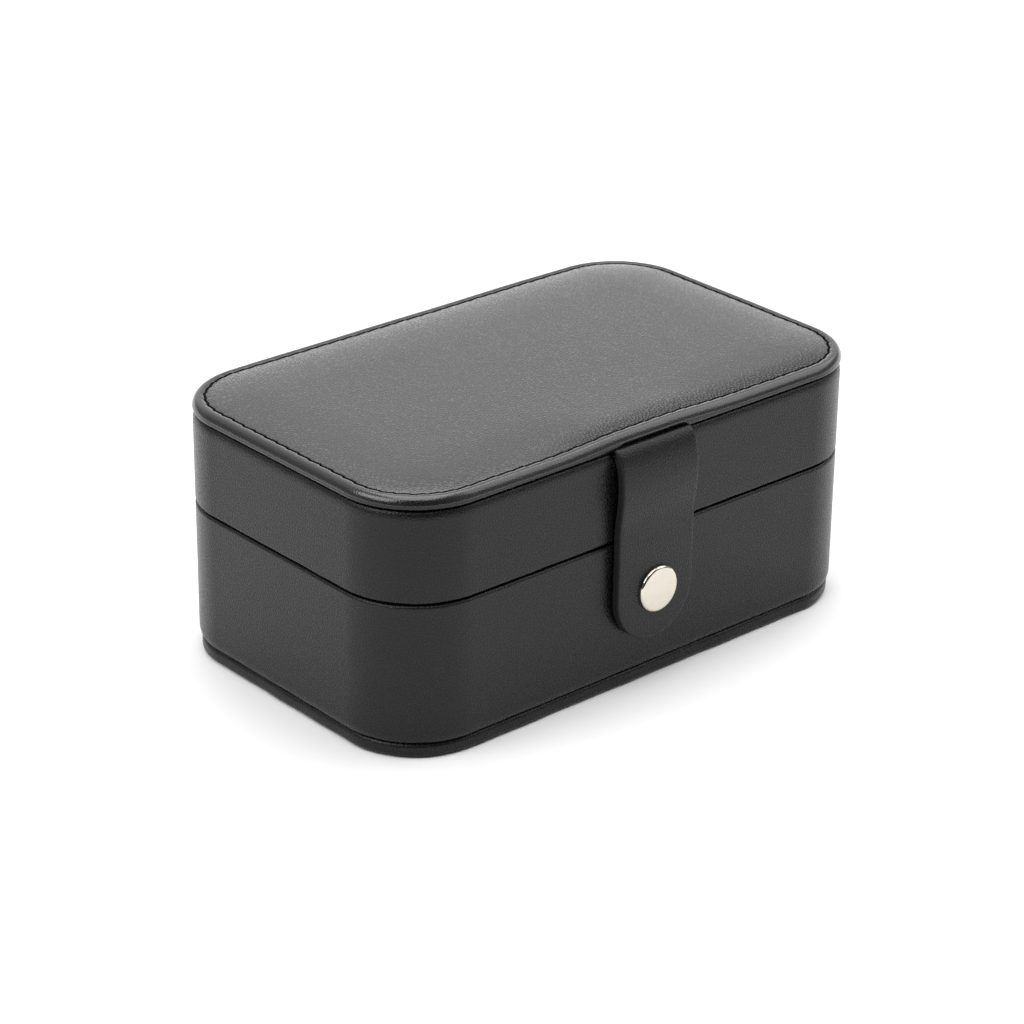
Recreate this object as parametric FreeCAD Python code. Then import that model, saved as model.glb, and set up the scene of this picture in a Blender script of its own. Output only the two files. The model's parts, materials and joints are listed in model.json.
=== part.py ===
import FreeCAD
import Part
import math
import os

# Jewelry box, millimetres. Two leather-covered wall bands, base and lid, stand on a wrapped base
# panel and carry a padded top panel. A leather strip across the back seam is the hinge, and a
# strap from under the top panel's rim snaps to the base. Inside are a lift-out tray with ring
# rolls and, below it, three compartments. The lid holds a mirror.
# The origin is the centre of the face the box stands on. +X runs along the length, the front with
# the strap faces -Y, and +Z is up.

Vector = FreeCAD.Vector

# Distance under which two places count as the same
SAME_PLACE = 1e-6

# Outside of the leather-covered walls
LENGTH = 160.0
WIDTH = 97.5
CORNER_R = 22.0
BASE_WALL_H = 37.6
LID_WALL_H = 24.2
SEAM_GAP = 0.4

# Sheets that the box is glued up from
LEATHER = 0.7
WALL_BOARD = 2.2
BASE_BOARD = 2.5
TOP_BOARD = 1.85
LINER = 1.2
GLUE = 0.1

# Leather pulled round the edges of the boards
WRAP_R = 1.0
PANEL_EDGE_R = 1.2
WALL_TURN_IN = 8.0
PANEL_TURN_IN = 11.5
BASE_INSET = 0.5

# Padded top panel: a rolled rim, a stitched valley and a crowned pad
STITCH_INSET = 3.5
STITCH_DROP = 0.35
PUFF_R = 0.9
CROWN_RISE = 1.1
CROWN_CORNER_R = 2.0
CORD_CLEAR = 0.15

# Lip of the base lining that the lid closes over
LIP_H = 5.0
LIP_STEP = 0.4
LIP_HEADROOM = 1.0

# Lower level of the base
FLOOR_PAD = 1.4
LEDGE_H = 15.0
LEDGE_T = 1.6
BASE_DIVIDER_T = 1.8
BASE_DIVIDER_SPACING = 50.0

# Lift-out tray
TRAY_CLEAR = 0.4
TRAY_REST = 0.1
TRAY_FLOOR = 1.4
TRAY_WALL = 1.6
TRAY_DROP = 0.4
TRAY_DIVIDER_T = 1.6
TRAY_DIVIDER_H = 15.0
TRAY_CROSS_X = 8.0
TRAY_LONG_Y = 6.0
FINGER_R = 8.0
ROLL_COUNT = 5
ROLL_H = 16.5
ROLL_GAP = 0.4

# Lining panel and mirror under the lid's top
LINING_PANEL = 2.5
LINING_SPACE = 1.1
MIRROR_X = 116.0
MIRROR_Y = 58.0
MIRROR_T = 1.8
MIRROR_R = 6.0
MIRROR_CLEAR = 0.1
MIRROR_REBATE = 2.0
MIRROR_EDGE = 0.6

# Hinge strips across the back seam
HINGE_X = 108.0
HINGE_H = 26.0
HINGE_CORNER_R = 3.0
CREASE_R = 0.4
HINGE_LINING = 0.5
HINGE_LINING_BELOW = 8.0
HINGE_LINING_ABOVE = 18.0

# Strap: a face and a backing of leather on a stiffener
STRAP_W = 25.0
STRAP_END_Z = 13.4
STRAP_CORE = 0.8
STRAP_STANDOFF = 0.5
STRAP_BULGE = 4.0
STRAP_SETTLE_H = 18.0
STRAP_TONGUE = 11.0
STRAP_ROOT_CLEAR = 0.15
STRAP_SLOT_CLEAR = 0.3

# Snap fastener
SNAP_Z = 27.0
SNAP_CLEAR = 0.1
CAP_R = 6.25
CAP_H = 1.3
CAP_EDGE = 0.4
CAP_POST_R = 1.6
SOCKET_R = 5.0
SOCKET_FLOOR = 0.35
SOCKET_BORE_R = 2.5
SPRING_WIRE_R = 0.25
STUD_FLANGE_R = 4.4
STUD_FLANGE = 0.5
STUD_SINK = 0.35
STUD_NECK_R = 1.75
STUD_HEAD_R = 2.05
STUD_HEAD = 0.4
EYELET_FLANGE = 0.6
EYELET_POST_R = 1.4

# Depths into the wall, from the leather's outer face
skin = LEATHER + GLUE
board_in = skin + WALL_BOARD
hem_out = board_in + GLUE
hem_in = hem_out + LEATHER
liner_out = hem_in + GLUE
liner_in = liner_out + LINER
hinge_lining_in = liner_in + GLUE + HINGE_LINING
tray_out = hinge_lining_in + TRAY_CLEAR
tray_in = tray_out + TRAY_WALL

# Heights, from the floor up
base_panel_top = 2 * skin + BASE_BOARD
base_wall_bottom = base_panel_top + GLUE
base_wall_top = base_wall_bottom + BASE_WALL_H
seam_z = base_wall_top + SEAM_GAP / 2
lid_wall_bottom = base_wall_top + SEAM_GAP
lid_wall_top = lid_wall_bottom + LID_WALL_H
top_panel_bottom = lid_wall_top + GLUE
valley_z = top_panel_bottom + 2 * skin + TOP_BOARD
rim_r = (valley_z + STITCH_DROP - top_panel_bottom) / 2
rim_z = top_panel_bottom + rim_r
crown_z = top_panel_bottom + 2 * rim_r + CROWN_RISE
crown_inset = CORNER_R - CROWN_CORNER_R
floor_top = base_wall_bottom + FLOOR_PAD
ledge_top = floor_top + GLUE + LEDGE_H
lip_top = base_wall_top + LIP_H
tray_bottom = ledge_top + TRAY_REST
tray_floor_top = tray_bottom + TRAY_FLOOR
tray_inside_z = tray_floor_top + GLUE
tray_top = base_wall_top - TRAY_DROP
lining_panel_top = top_panel_bottom - LINING_SPACE
lining_panel_bottom = lining_panel_top - LINING_PANEL

front_y = -WIDTH / 2
back_y = WIDTH / 2
hinge_y = back_y + GLUE + LEATHER

# The strap's middle surface, as distances in front of the wall
strap_t = 2 * skin + STRAP_CORE
strap_low = STRAP_STANDOFF + strap_t / 2
strap_bend_r = STRAP_BULGE - strap_t / 2
strap_root_z = lid_wall_top - LEATHER / 2
strap_bend_z = strap_root_z - STRAP_BULGE + LEATHER / 2
strap_shift = strap_bend_r - strap_low
strap_sway = 2 * math.atan2(strap_shift, STRAP_SETTLE_H)
strap_sway_r = STRAP_SETTLE_H / (2 * math.sin(strap_sway))
strap_front = STRAP_STANDOFF + strap_t


def path_edges(path, place):
    """Edges along a path of steps: (end,) for a line, (middle, end) for an arc."""
    edges = []
    start = place(*path[0][-1])
    for step in path[1:]:
        points = [place(*point) for point in step]
        if len(points) == 1:
            edges.append(Part.LineSegment(start, points[0]).toShape())
        else:
            edges.append(Part.Arc(start, points[0], points[1]).toShape())
        start = points[-1]
    return edges


def reversed_path(path):
    """The same path walked from its end to its start."""
    points = [step[-1] for step in path][::-1]
    middles = [step[:-1] for step in path[1:]][::-1]
    return [(points[0],)] + [middle + (point,) for middle, point in zip(middles, points[1:])]


def profile_face(path, place):
    """A flat face inside a closed path."""
    return Part.Face(Part.Wire(path_edges(path, place)))


def on_arc(centre, radius, degrees):
    """A point of a circle in a profile's plane."""
    angle = math.radians(degrees)
    return (centre[0] + radius * math.cos(angle), centre[1] + radius * math.sin(angle))


def rounded_rectangle(length, width, radius, z):
    """A closed outline with four round corners, centred on the Z axis."""
    x0, y0 = length / 2 - radius, width / 2 - radius
    path = []
    corners = ((x0, -y0, 270), (x0, y0, 0), (-x0, y0, 90), (-x0, -y0, 180))
    for cx, cy, start in corners:
        path.append((on_arc((cx, cy), radius, start),))
        path.append((on_arc((cx, cy), radius, start + 45), on_arc((cx, cy), radius, start + 90)))
    edges = path_edges(path + [path[0]], lambda a, b: Vector(a, b, z))
    return Part.Wire(edges)


def outline(inset, z):
    """The box's outline, moved in by an inset."""
    return rounded_rectangle(LENGTH - 2 * inset, WIDTH - 2 * inset, CORNER_R - inset, z)


def slab(inset, bottom, top):
    """A plate with the box's outline."""
    return Part.Face(outline(inset, bottom)).extrude(Vector(0, 0, top - bottom))


def swept_ring(path):
    """A profile of (inset, height) carried once round the box's outline."""
    x0, y0 = LENGTH / 2 - CORNER_R, WIDTH / 2 - CORNER_R
    up = Vector(0, 0, 1)
    front_face = profile_face(path, lambda u, z: Vector(-x0, front_y + u, z))
    left_face = profile_face(path, lambda u, z: Vector(u - LENGTH / 2, -y0, z))
    front = front_face.extrude(Vector(2 * x0, 0, 0))
    left = left_face.extrude(Vector(0, 2 * y0, 0))
    front_left = front_face.revolve(Vector(-x0, -y0, 0), up, -90)
    back_left = left_face.copy()
    back_left.translate(Vector(0, 2 * y0, 0))
    back_left = back_left.revolve(Vector(-x0, y0, 0), up, -90)
    quarter_turns = [front, front_left, left, back_left]
    for shape in list(quarter_turns):
        turned_half = shape.copy()
        turned_half.rotate(Vector(0, 0, 0), up, 180)
        quarter_turns.append(turned_half)
    return front.multiFuse(quarter_turns[1:]).removeSplitter()


def plain_ring(outer, inner, bottom, top):
    """A wall of even thickness that follows the outline."""
    return slab(outer, bottom, top).cut(slab(inner, bottom, top))


def box(x0, x1, y0, y1, z0, z1):
    """A block between two corners."""
    return Part.makeBox(x1 - x0, y1 - y0, z1 - z0, Vector(x0, y0, z0))


def rounded_edges(shape, radius, chosen):
    """A fillet on each edge for which chosen(edge's box) is true."""
    edges = [edge for edge in shape.Edges if chosen(edge.BoundBox)]
    return shape.makeFillet(radius, edges)


def level_at(z):
    """Picks the edges that lie flat at a height."""
    return lambda bounds: abs(bounds.ZMin - z) < SAME_PLACE and abs(bounds.ZMax - z) < SAME_PLACE


def snap_turned(path):
    """A profile of (distance in front of the wall, radius) turned about the snap's axis."""
    face = profile_face(path, lambda out, r: Vector(r, front_y - out, SNAP_Z))
    return face.revolve(Vector(0, 0, SNAP_Z), Vector(0, 1, 0), 360)


def snap_disc(radius, out0, out1):
    """A disc on the snap's axis."""
    return Part.makeCylinder(radius, out1 - out0, Vector(0, front_y - out0, SNAP_Z), Vector(0, -1, 0))


def base_bottom_cover():
    """Leather under the base panel, round its edge and turned in on top."""
    body = slab(BASE_INSET, 0, base_panel_top)
    body = rounded_edges(body, PANEL_EDGE_R, level_at(0))
    body = rounded_edges(body, PANEL_EDGE_R, level_at(base_panel_top))
    pocket = slab(BASE_INSET + skin, skin - GLUE, base_panel_top - LEATHER)
    window = slab(BASE_INSET + PANEL_TURN_IN, skin, base_panel_top)
    return body.cut(pocket.fuse(window))


def base_board():
    """The stiff board of the base panel."""
    return slab(BASE_INSET + skin + GLUE, skin, skin + BASE_BOARD)


def strap_slot(depth):
    """The slot that the strap's tongue lies in, on top of the lid's front wall."""
    half = STRAP_W / 2 + STRAP_SLOT_CLEAR
    bottom = strap_root_z - LEATHER / 2 - STRAP_SLOT_CLEAR
    return box(-half, half, front_y - WRAP_R, front_y + depth, bottom, top_panel_bottom)


def wall_cover(edge_a, edge_b):
    """Leather on a wall band: round the open edge and in behind it, and over the glued edge.

    edge_a is the height of the open edge at the seam, edge_b of the edge that meets a panel.
    """
    up = 1 if edge_b > edge_a else -1
    corner_a = (WRAP_R, edge_a + up * WRAP_R)
    corner_b = (WRAP_R, edge_b - up * WRAP_R)
    path = [
        ((hem_in, edge_a),),
        ((WRAP_R, edge_a),),
        (on_arc(corner_a, WRAP_R, 180 + 45 * up), (0, edge_a + up * WRAP_R)),
        ((0, edge_b - up * WRAP_R),),
        (on_arc(corner_b, WRAP_R, 180 - 45 * up), (WRAP_R, edge_b)),
        ((board_in, edge_b),),
        ((board_in, edge_b - up * LEATHER),),
        ((LEATHER, edge_b - up * LEATHER),),
        ((LEATHER, edge_a + up * LEATHER),),
        ((hem_out, edge_a + up * LEATHER),),
        ((hem_out, edge_a + up * WALL_TURN_IN),),
        ((hem_in, edge_a + up * WALL_TURN_IN),),
        ((hem_in, edge_a),),
    ]
    return swept_ring(path)


def base_wall_cover():
    """Leather on the base's wall, pressed in round the stud and holed for its post."""
    cover = wall_cover(base_wall_top, base_wall_bottom)
    recess = snap_disc(STUD_FLANGE_R + SNAP_CLEAR, -STUD_SINK - SNAP_CLEAR / 2, CAP_H)
    hole = snap_disc(EYELET_POST_R + SNAP_CLEAR, -skin, CAP_H)
    return cover.cut(recess.fuse(hole))


def base_wall_board():
    """The base's wall, with the hole for the stud's post."""
    wall = plain_ring(skin, board_in, base_wall_bottom + skin, base_wall_top - skin)
    return wall.cut(snap_disc(EYELET_POST_R + SNAP_CLEAR, -board_in - skin, 0))


def base_lining_wall():
    """Lining of the base, with a thinner rounded lip that stands up into the lid."""
    lip_out = liner_out + LIP_STEP
    lip_r = (liner_in - lip_out) / 2
    lip_mid = lip_out + lip_r
    path = [
        ((liner_out, base_wall_bottom),),
        ((liner_out, base_wall_top),),
        ((lip_out, base_wall_top + LIP_STEP),),
        ((lip_out, lip_top - lip_r),),
        ((lip_mid, lip_top), (liner_in, lip_top - lip_r)),
        ((liner_in, base_wall_bottom),),
        ((liner_out, base_wall_bottom),),
    ]
    return swept_ring(path)


def base_floor_pad():
    """Padded floor of the lower level."""
    return slab(liner_in + GLUE, base_wall_bottom, floor_top)


def base_tray_ledge():
    """Inner strip round the lower level, which the tray stands on."""
    outer = liner_in + GLUE
    return plain_ring(outer, outer + LEDGE_T, floor_top + GLUE, ledge_top)


def round_topped_board(x0, x1, y0, y1, z0, z1, thickness):
    """A covered divider with its top edge rounded over."""
    board = box(x0, x1, y0, y1, z0, z1)
    along_x = x1 - x0 > y1 - y0

    def long_top_edge(bounds):
        run = bounds.XLength if along_x else bounds.YLength
        return level_at(z1)(bounds) and run > 2 * thickness

    return rounded_edges(board, 0.45 * thickness, long_top_edge)


def base_divider(side):
    """A cross divider of the lower level, on the left (-1) or the right (1)."""
    middle = side * BASE_DIVIDER_SPACING / 2
    half_y = WIDTH / 2 - liner_in - LEDGE_T - 2 * GLUE
    x0, x1 = middle - BASE_DIVIDER_T / 2, middle + BASE_DIVIDER_T / 2
    return round_topped_board(x0, x1, -half_y, half_y, floor_top + GLUE, ledge_top, BASE_DIVIDER_T)


def snap_stud():
    """The stud on the base: a sunk flange, a neck and a rounded head."""
    head_out = strap_front - skin - SOCKET_FLOOR - SNAP_CLEAR
    face = STUD_FLANGE - STUD_SINK
    head_edge = STUD_HEAD / 2
    head_mid = (head_out - head_edge, STUD_HEAD_R - head_edge)
    path = [
        ((-STUD_SINK, 0),),
        ((-STUD_SINK, STUD_FLANGE_R),),
        ((face, STUD_FLANGE_R),),
        ((face, STUD_NECK_R),),
        ((head_out - STUD_HEAD, STUD_NECK_R),),
        ((head_out - STUD_HEAD, STUD_HEAD_R - head_edge),),
        ((head_mid[0], STUD_HEAD_R), (head_out, head_mid[1])),
        ((head_out, 0),),
        ((-STUD_SINK, 0),),
    ]
    return snap_turned(path)


def snap_eyelet():
    """The eyelet behind the base's wall, whose post holds the stud."""
    back = -board_in - GLUE
    flange = snap_disc(STUD_FLANGE_R, back - EYELET_FLANGE, back)
    post = snap_disc(EYELET_POST_R, back, -STUD_SINK - SNAP_CLEAR / 2)
    return flange.fuse(post).removeSplitter()


def hinge_strip():
    """Leather across the back seam, with a round crease on the hinge line."""
    face = rounded_rectangle(HINGE_X, HINGE_H, HINGE_CORNER_R, 0)
    strip = Part.Face(face).extrude(Vector(0, 0, LEATHER))
    strip.rotate(Vector(0, 0, 0), Vector(1, 0, 0), 90)
    strip.translate(Vector(0, hinge_y, seam_z))
    start = Vector(-HINGE_X / 2, hinge_y, seam_z)
    return strip.cut(Part.makeCylinder(CREASE_R, HINGE_X, start, Vector(1, 0, 0)))


def hinge_lining():
    """Stretch lining inside the back, from the base to the lid, which stops the lid when taut."""
    y1 = back_y - liner_in - GLUE
    below, above = seam_z - HINGE_LINING_BELOW, seam_z + HINGE_LINING_ABOVE
    return box(-HINGE_X / 2, HINGE_X / 2, y1 - HINGE_LINING, y1, below, above)


def rim_path(shrink):
    """The rolled rim from its underside to the stitched valley, shrunk by part of the leather."""
    r = rim_r - shrink
    crest = (rim_r, rim_z + r)
    run = STITCH_INSET - rim_r
    slope_r = (run ** 2 + STITCH_DROP ** 2) / (2 * STITCH_DROP)
    half_turn = math.degrees(math.asin(run / slope_r)) / 2
    slope_centre = (rim_r, crest[1] - slope_r)
    return [
        ((PANEL_TURN_IN, rim_z - r),),
        ((rim_r, rim_z - r),),
        (on_arc((rim_r, rim_z), r, 180), crest),
        (on_arc(slope_centre, slope_r, 90 - half_turn), (STITCH_INSET, crest[1] - STITCH_DROP)),
    ]


def crown_path(shrink):
    """The pad from the stitched valley up a small round to its shoulder and along a long crown."""
    r = PUFF_R - shrink
    puff_centre = (STITCH_INSET + PUFF_R, valley_z)
    rise, run = crown_z - valley_z, crown_inset - STITCH_INSET
    long_r = ((run - PUFF_R) ** 2 + rise ** 2 - PUFF_R ** 2) / (2 * (rise - PUFF_R))
    long_centre = (crown_inset, crown_z - long_r)
    lean = math.degrees(math.atan2(run - PUFF_R, long_r - rise))
    return [
        ((STITCH_INSET + shrink, valley_z),),
        (on_arc(puff_centre, r, 135 + lean / 2), on_arc(puff_centre, r, 90 + lean)),
        (on_arc(long_centre, long_r - shrink, 90 + lean / 2), (crown_inset, crown_z - shrink)),
    ]


def lid_top_cover():
    """Leather over the padded top, round its rolled rim and turned in below."""
    inside = reversed_path(crown_path(LEATHER))
    under_valley = valley_z - LEATHER
    path = rim_path(0) + crown_path(0)[1:] + [(inside[0][-1],)] + inside[1:]
    path.append(((STITCH_INSET + LEATHER, under_valley),))
    path.append(((STITCH_INSET, under_valley),))
    path += reversed_path(rim_path(LEATHER))[1:]
    path.append(path[0])
    middle = slab(crown_inset, crown_z - LEATHER, crown_z)
    return swept_ring(path).fuse(middle).removeSplitter()


def lid_rim_cord():
    """The cord that the leather rim is rolled over."""
    r = rim_r - skin - GLUE / 2
    centre = (rim_r, rim_z)
    path = [
        (on_arc(centre, r, 0),),
        (on_arc(centre, r, 90), on_arc(centre, r, 180)),
        (on_arc(centre, r, 270), on_arc(centre, r, 0)),
    ]
    return swept_ring(path)


def lid_top_board():
    """The stiff board of the top panel."""
    inset = 2 * rim_r - skin + CORD_CLEAR
    bottom = top_panel_bottom + skin
    return slab(inset, bottom + GLUE / 2, bottom + TOP_BOARD - GLUE / 2)


def lid_top_pad():
    """Foam between the board and the leather."""
    bottom = top_panel_bottom + skin + TOP_BOARD + GLUE / 2
    path = crown_path(skin)
    path += [((crown_inset, bottom),), ((STITCH_INSET + skin, bottom),), path[0]]
    middle = slab(crown_inset, bottom, crown_z - skin)
    return swept_ring(path).fuse(middle).removeSplitter()


def lid_wall_cover():
    """Leather on the lid's wall, open at the front for the strap's tongue."""
    return wall_cover(lid_wall_bottom, lid_wall_top).cut(strap_slot(hem_in))


def lid_wall_board():
    """The lid's wall."""
    wall = plain_ring(skin, board_in, lid_wall_bottom + skin, lid_wall_top - skin)
    return wall.cut(strap_slot(hem_in))


def lid_lining_wall():
    """Lining round the inside of the lid, above the base's lip."""
    return plain_ring(liner_out, liner_in, lip_top + LIP_HEADROOM, lining_panel_top)


def mirror_plate(grow, bottom, top):
    """A plate with the mirror's outline, grown on every side."""
    wire = rounded_rectangle(MIRROR_X + 2 * grow, MIRROR_Y + 2 * grow, MIRROR_R + grow, bottom)
    return Part.Face(wire).extrude(Vector(0, 0, top - bottom))


def lid_lining_panel():
    """Covered panel under the lid's top, rebated for the mirror."""
    panel = slab(liner_in + GLUE, lining_panel_bottom, lining_panel_top)
    window = mirror_plate(-MIRROR_REBATE, lining_panel_bottom, lining_panel_top)
    rebate = mirror_plate(MIRROR_CLEAR, lining_panel_bottom + MIRROR_EDGE, lining_panel_top)
    panel = panel.cut(window.fuse(rebate))
    soft_edge = MIRROR_EDGE / 2
    reach_x = MIRROR_X / 2 - MIRROR_REBATE + SAME_PLACE
    at_bottom = level_at(lining_panel_bottom)
    return rounded_edges(panel, soft_edge, lambda b: at_bottom(b) and max(b.XMax, -b.XMin) <= reach_x)


def mirror():
    """The glass, held from below by the panel's edge."""
    bottom = lining_panel_bottom + MIRROR_EDGE + MIRROR_CLEAR
    return mirror_plate(0, bottom, bottom + MIRROR_T)


def strap_path(offset, with_bend):
    """The strap's side view, offset from its middle surface, as (distance out, height) steps.

    From the root it bends down through a quarter turn, sways in to its low stand-off through two
    equal arcs, and then hangs straight.
    """
    sway = math.degrees(strap_sway)
    bend_centre = (0, strap_bend_z)
    in_centre = (strap_bend_r - strap_sway_r, strap_bend_z)
    out_centre = (strap_low + strap_sway_r, strap_bend_z - STRAP_SETTLE_H)
    bend_r = strap_bend_r + offset
    in_r, out_r = strap_sway_r + offset, strap_sway_r - offset
    path = [(on_arc(bend_centre, bend_r, 0),)]
    if with_bend:
        path = [
            (on_arc(bend_centre, bend_r, 90),),
            (on_arc(bend_centre, bend_r, 45), on_arc(bend_centre, bend_r, 0)),
        ]
    path.append((on_arc(in_centre, in_r, -sway / 2), on_arc(in_centre, in_r, -sway)))
    path.append((on_arc(out_centre, out_r, 180 - sway / 2), on_arc(out_centre, out_r, 180)))
    path.append(((strap_low + offset, STRAP_END_Z),))
    return path


def strap_layer(inner, outer, with_bend):
    """One layer of the strap, with the strap's round end and the hole for the snap's post."""
    out_path = strap_path(outer, with_bend)
    in_path = reversed_path(strap_path(inner, with_bend))
    path = out_path + [(in_path[0][-1],)] + in_path[1:]
    if with_bend:
        path.append(((-LEATHER / 2, strap_root_z), out_path[0][-1]))
    else:
        path.append(out_path[0])
    half = STRAP_W / 2
    side = profile_face(path, lambda out, z: Vector(-half, front_y - out, z))
    layer = side.extrude(Vector(STRAP_W, 0, 0))
    end = (0, STRAP_END_Z + half)
    front = [
        ((-half, top_panel_bottom + half),),
        ((-half, end[1]),),
        (on_arc(end, half, 270), (half, end[1])),
        ((half, top_panel_bottom + half),),
        ((-half, top_panel_bottom + half),),
    ]
    face = profile_face(front, lambda x, z: Vector(x, front_y + half, z))
    layer = layer.common(face.extrude(Vector(0, -STRAP_W - STRAP_BULGE, 0)))
    return layer.cut(snap_disc(CAP_POST_R + SNAP_CLEAR, 0, strap_front))


def strap_face():
    """The strap's outer leather, with a rounded root on the line it bends about."""
    return strap_layer(strap_t / 2 - LEATHER, strap_t / 2, True)


def socket_pocket():
    """The round pocket that the socket is set in, behind the strap's face."""
    return snap_disc(SOCKET_R + SNAP_CLEAR, 0, strap_front - skin)


def strap_stiffener():
    """The board between the strap's two leathers."""
    return strap_layer(-STRAP_CORE / 2, STRAP_CORE / 2, False).cut(socket_pocket())


def strap_backing():
    """The strap's inner leather."""
    return strap_layer(-strap_t / 2, -strap_t / 2 + LEATHER, False).cut(socket_pocket())


def strap_tongue():
    """The end of the strap's leather, glued in under the top panel."""
    out_end = -LEATHER / 2 - STRAP_ROOT_CLEAR
    y0, y1 = front_y - out_end, front_y + STRAP_TONGUE
    half = STRAP_W / 2
    return box(-half, half, y0, y1, strap_root_z - LEATHER / 2, strap_root_z + LEATHER / 2)


def snap_cap():
    """The polished cap on the strap's face, with the post that holds the socket."""
    back = strap_front + SNAP_CLEAR / 2
    face = back + CAP_H
    post_end = strap_front - skin - SOCKET_FLOOR
    edge = (face - CAP_EDGE, CAP_R - CAP_EDGE)
    path = [
        ((post_end, 0),),
        ((post_end, CAP_POST_R),),
        ((back, CAP_POST_R),),
        ((back, CAP_R),),
        ((face - CAP_EDGE, CAP_R),),
        (on_arc(edge, CAP_EDGE, 45), (face, CAP_R - CAP_EDGE)),
        ((face, 0),),
        ((post_end, 0),),
    ]
    return snap_turned(path)


def snap_socket():
    """The socket in the strap's back: a ring round the stud, with a floor holed for the post."""
    back, front = STRAP_STANDOFF + SNAP_CLEAR / 2, strap_front - skin
    ring = snap_disc(SOCKET_R, back, front).cut(snap_disc(SOCKET_BORE_R, back, front - SOCKET_FLOOR))
    return ring.cut(snap_disc(CAP_POST_R + SNAP_CLEAR / 2, back, front))


def snap_spring():
    """The spring wire in the socket that grips the stud behind its head."""
    head_out = strap_front - skin - SOCKET_FLOOR - SNAP_CLEAR
    out = head_out - STUD_HEAD - SPRING_WIRE_R - SNAP_CLEAR / 2
    mean_r = SOCKET_BORE_R - SPRING_WIRE_R - SNAP_CLEAR / 2
    return Part.makeTorus(mean_r, SPRING_WIRE_R, Vector(0, front_y - out, SNAP_Z), Vector(0, 1, 0))


def tray_wall():
    """The tray's wall, rounded on top and dipped at both ends for the fingers."""
    r = TRAY_WALL / 2
    path = [
        ((tray_out, tray_inside_z),),
        ((tray_out, tray_top - r),),
        ((tray_out + r, tray_top), (tray_in, tray_top - r)),
        ((tray_in, tray_inside_z),),
        ((tray_out, tray_inside_z),),
    ]
    start = Vector(-LENGTH / 2, 0, tray_top)
    return swept_ring(path).cut(Part.makeCylinder(FINGER_R, LENGTH, start, Vector(1, 0, 0)))


def tray_floor():
    """The tray's floor, which stands on the ledge."""
    return slab(tray_out, tray_bottom, tray_floor_top)


def tray_cross_divider():
    """The tray's divider between the ring rolls and the compartments."""
    half_y = WIDTH / 2 - tray_in - GLUE
    x0 = TRAY_CROSS_X - TRAY_DIVIDER_T / 2
    top = tray_inside_z + TRAY_DIVIDER_H
    return round_topped_board(
        x0, x0 + TRAY_DIVIDER_T, -half_y, half_y, tray_inside_z, top, TRAY_DIVIDER_T
    )


def tray_long_divider():
    """The tray's divider between the two compartments."""
    x0 = TRAY_CROSS_X + TRAY_DIVIDER_T / 2 + GLUE
    x1 = LENGTH / 2 - tray_in - GLUE
    y0 = TRAY_LONG_Y - TRAY_DIVIDER_T / 2
    top = tray_inside_z + TRAY_DIVIDER_H
    return round_topped_board(x0, x1, y0, y0 + TRAY_DIVIDER_T, tray_inside_z, top, TRAY_DIVIDER_T)


def ring_roll(index):
    """A foam roll for rings, round on top, counted from the tray's left end."""
    left = -LENGTH / 2 + tray_in + GLUE
    right = TRAY_CROSS_X - TRAY_DIVIDER_T / 2 - GLUE
    pitch = (right - left + ROLL_GAP) / ROLL_COUNT
    x0 = left + index * pitch
    x1 = x0 + pitch - ROLL_GAP
    r = (x1 - x0) / 2
    spring = tray_inside_z + ROLL_H - r
    half_y = WIDTH / 2 - tray_in
    path = [
        ((x0, tray_inside_z),),
        ((x1, tray_inside_z),),
        ((x1, spring),),
        ((x0 + r, spring + r), (x0, spring)),
        ((x0, tray_inside_z),),
    ]
    face = profile_face(path, lambda x, z: Vector(x, -half_y, z))
    roll = face.extrude(Vector(0, 2 * half_y, 0))
    return roll.common(slab(tray_in + GLUE, tray_inside_z, tray_top))


def build():
    """Every piece of the box by its node's name."""
    nodes = {
        "base_bottom_cover": base_bottom_cover(),
        "base_board": base_board(),
        "base_wall_cover": base_wall_cover(),
        "base_wall_board": base_wall_board(),
        "base_lining_wall": base_lining_wall(),
        "base_floor_pad": base_floor_pad(),
        "base_tray_ledge": base_tray_ledge(),
        "base_divider_left": base_divider(-1),
        "base_divider_right": base_divider(1),
        "snap_stud": snap_stud(),
        "snap_eyelet": snap_eyelet(),
        "hinge_strip": hinge_strip(),
        "hinge_lining": hinge_lining(),
        "lid_top_cover": lid_top_cover(),
        "lid_rim_cord": lid_rim_cord(),
        "lid_top_board": lid_top_board(),
        "lid_top_pad": lid_top_pad(),
        "lid_wall_cover": lid_wall_cover(),
        "lid_wall_board": lid_wall_board(),
        "lid_lining_wall": lid_lining_wall(),
        "lid_lining_panel": lid_lining_panel(),
        "mirror": mirror(),
        "strap_tongue": strap_tongue(),
        "strap_face": strap_face(),
        "strap_stiffener": strap_stiffener(),
        "strap_backing": strap_backing(),
        "snap_cap": snap_cap(),
        "snap_socket": snap_socket(),
        "snap_spring": snap_spring(),
        "tray_floor": tray_floor(),
        "tray_wall": tray_wall(),
        "tray_cross_divider": tray_cross_divider(),
        "tray_long_divider": tray_long_divider(),
    }
    for index in range(ROLL_COUNT):
        nodes[f"ring_roll_{index + 1}"] = ring_roll(index)
    return nodes


os.makedirs("parts", exist_ok=True)
for name, shape in build().items():
    shape.exportStep(f"parts/{name}.step")
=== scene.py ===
import json
import math

import bmesh
import bpy
import numpy as np
from mathutils import Matrix, Vector


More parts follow.
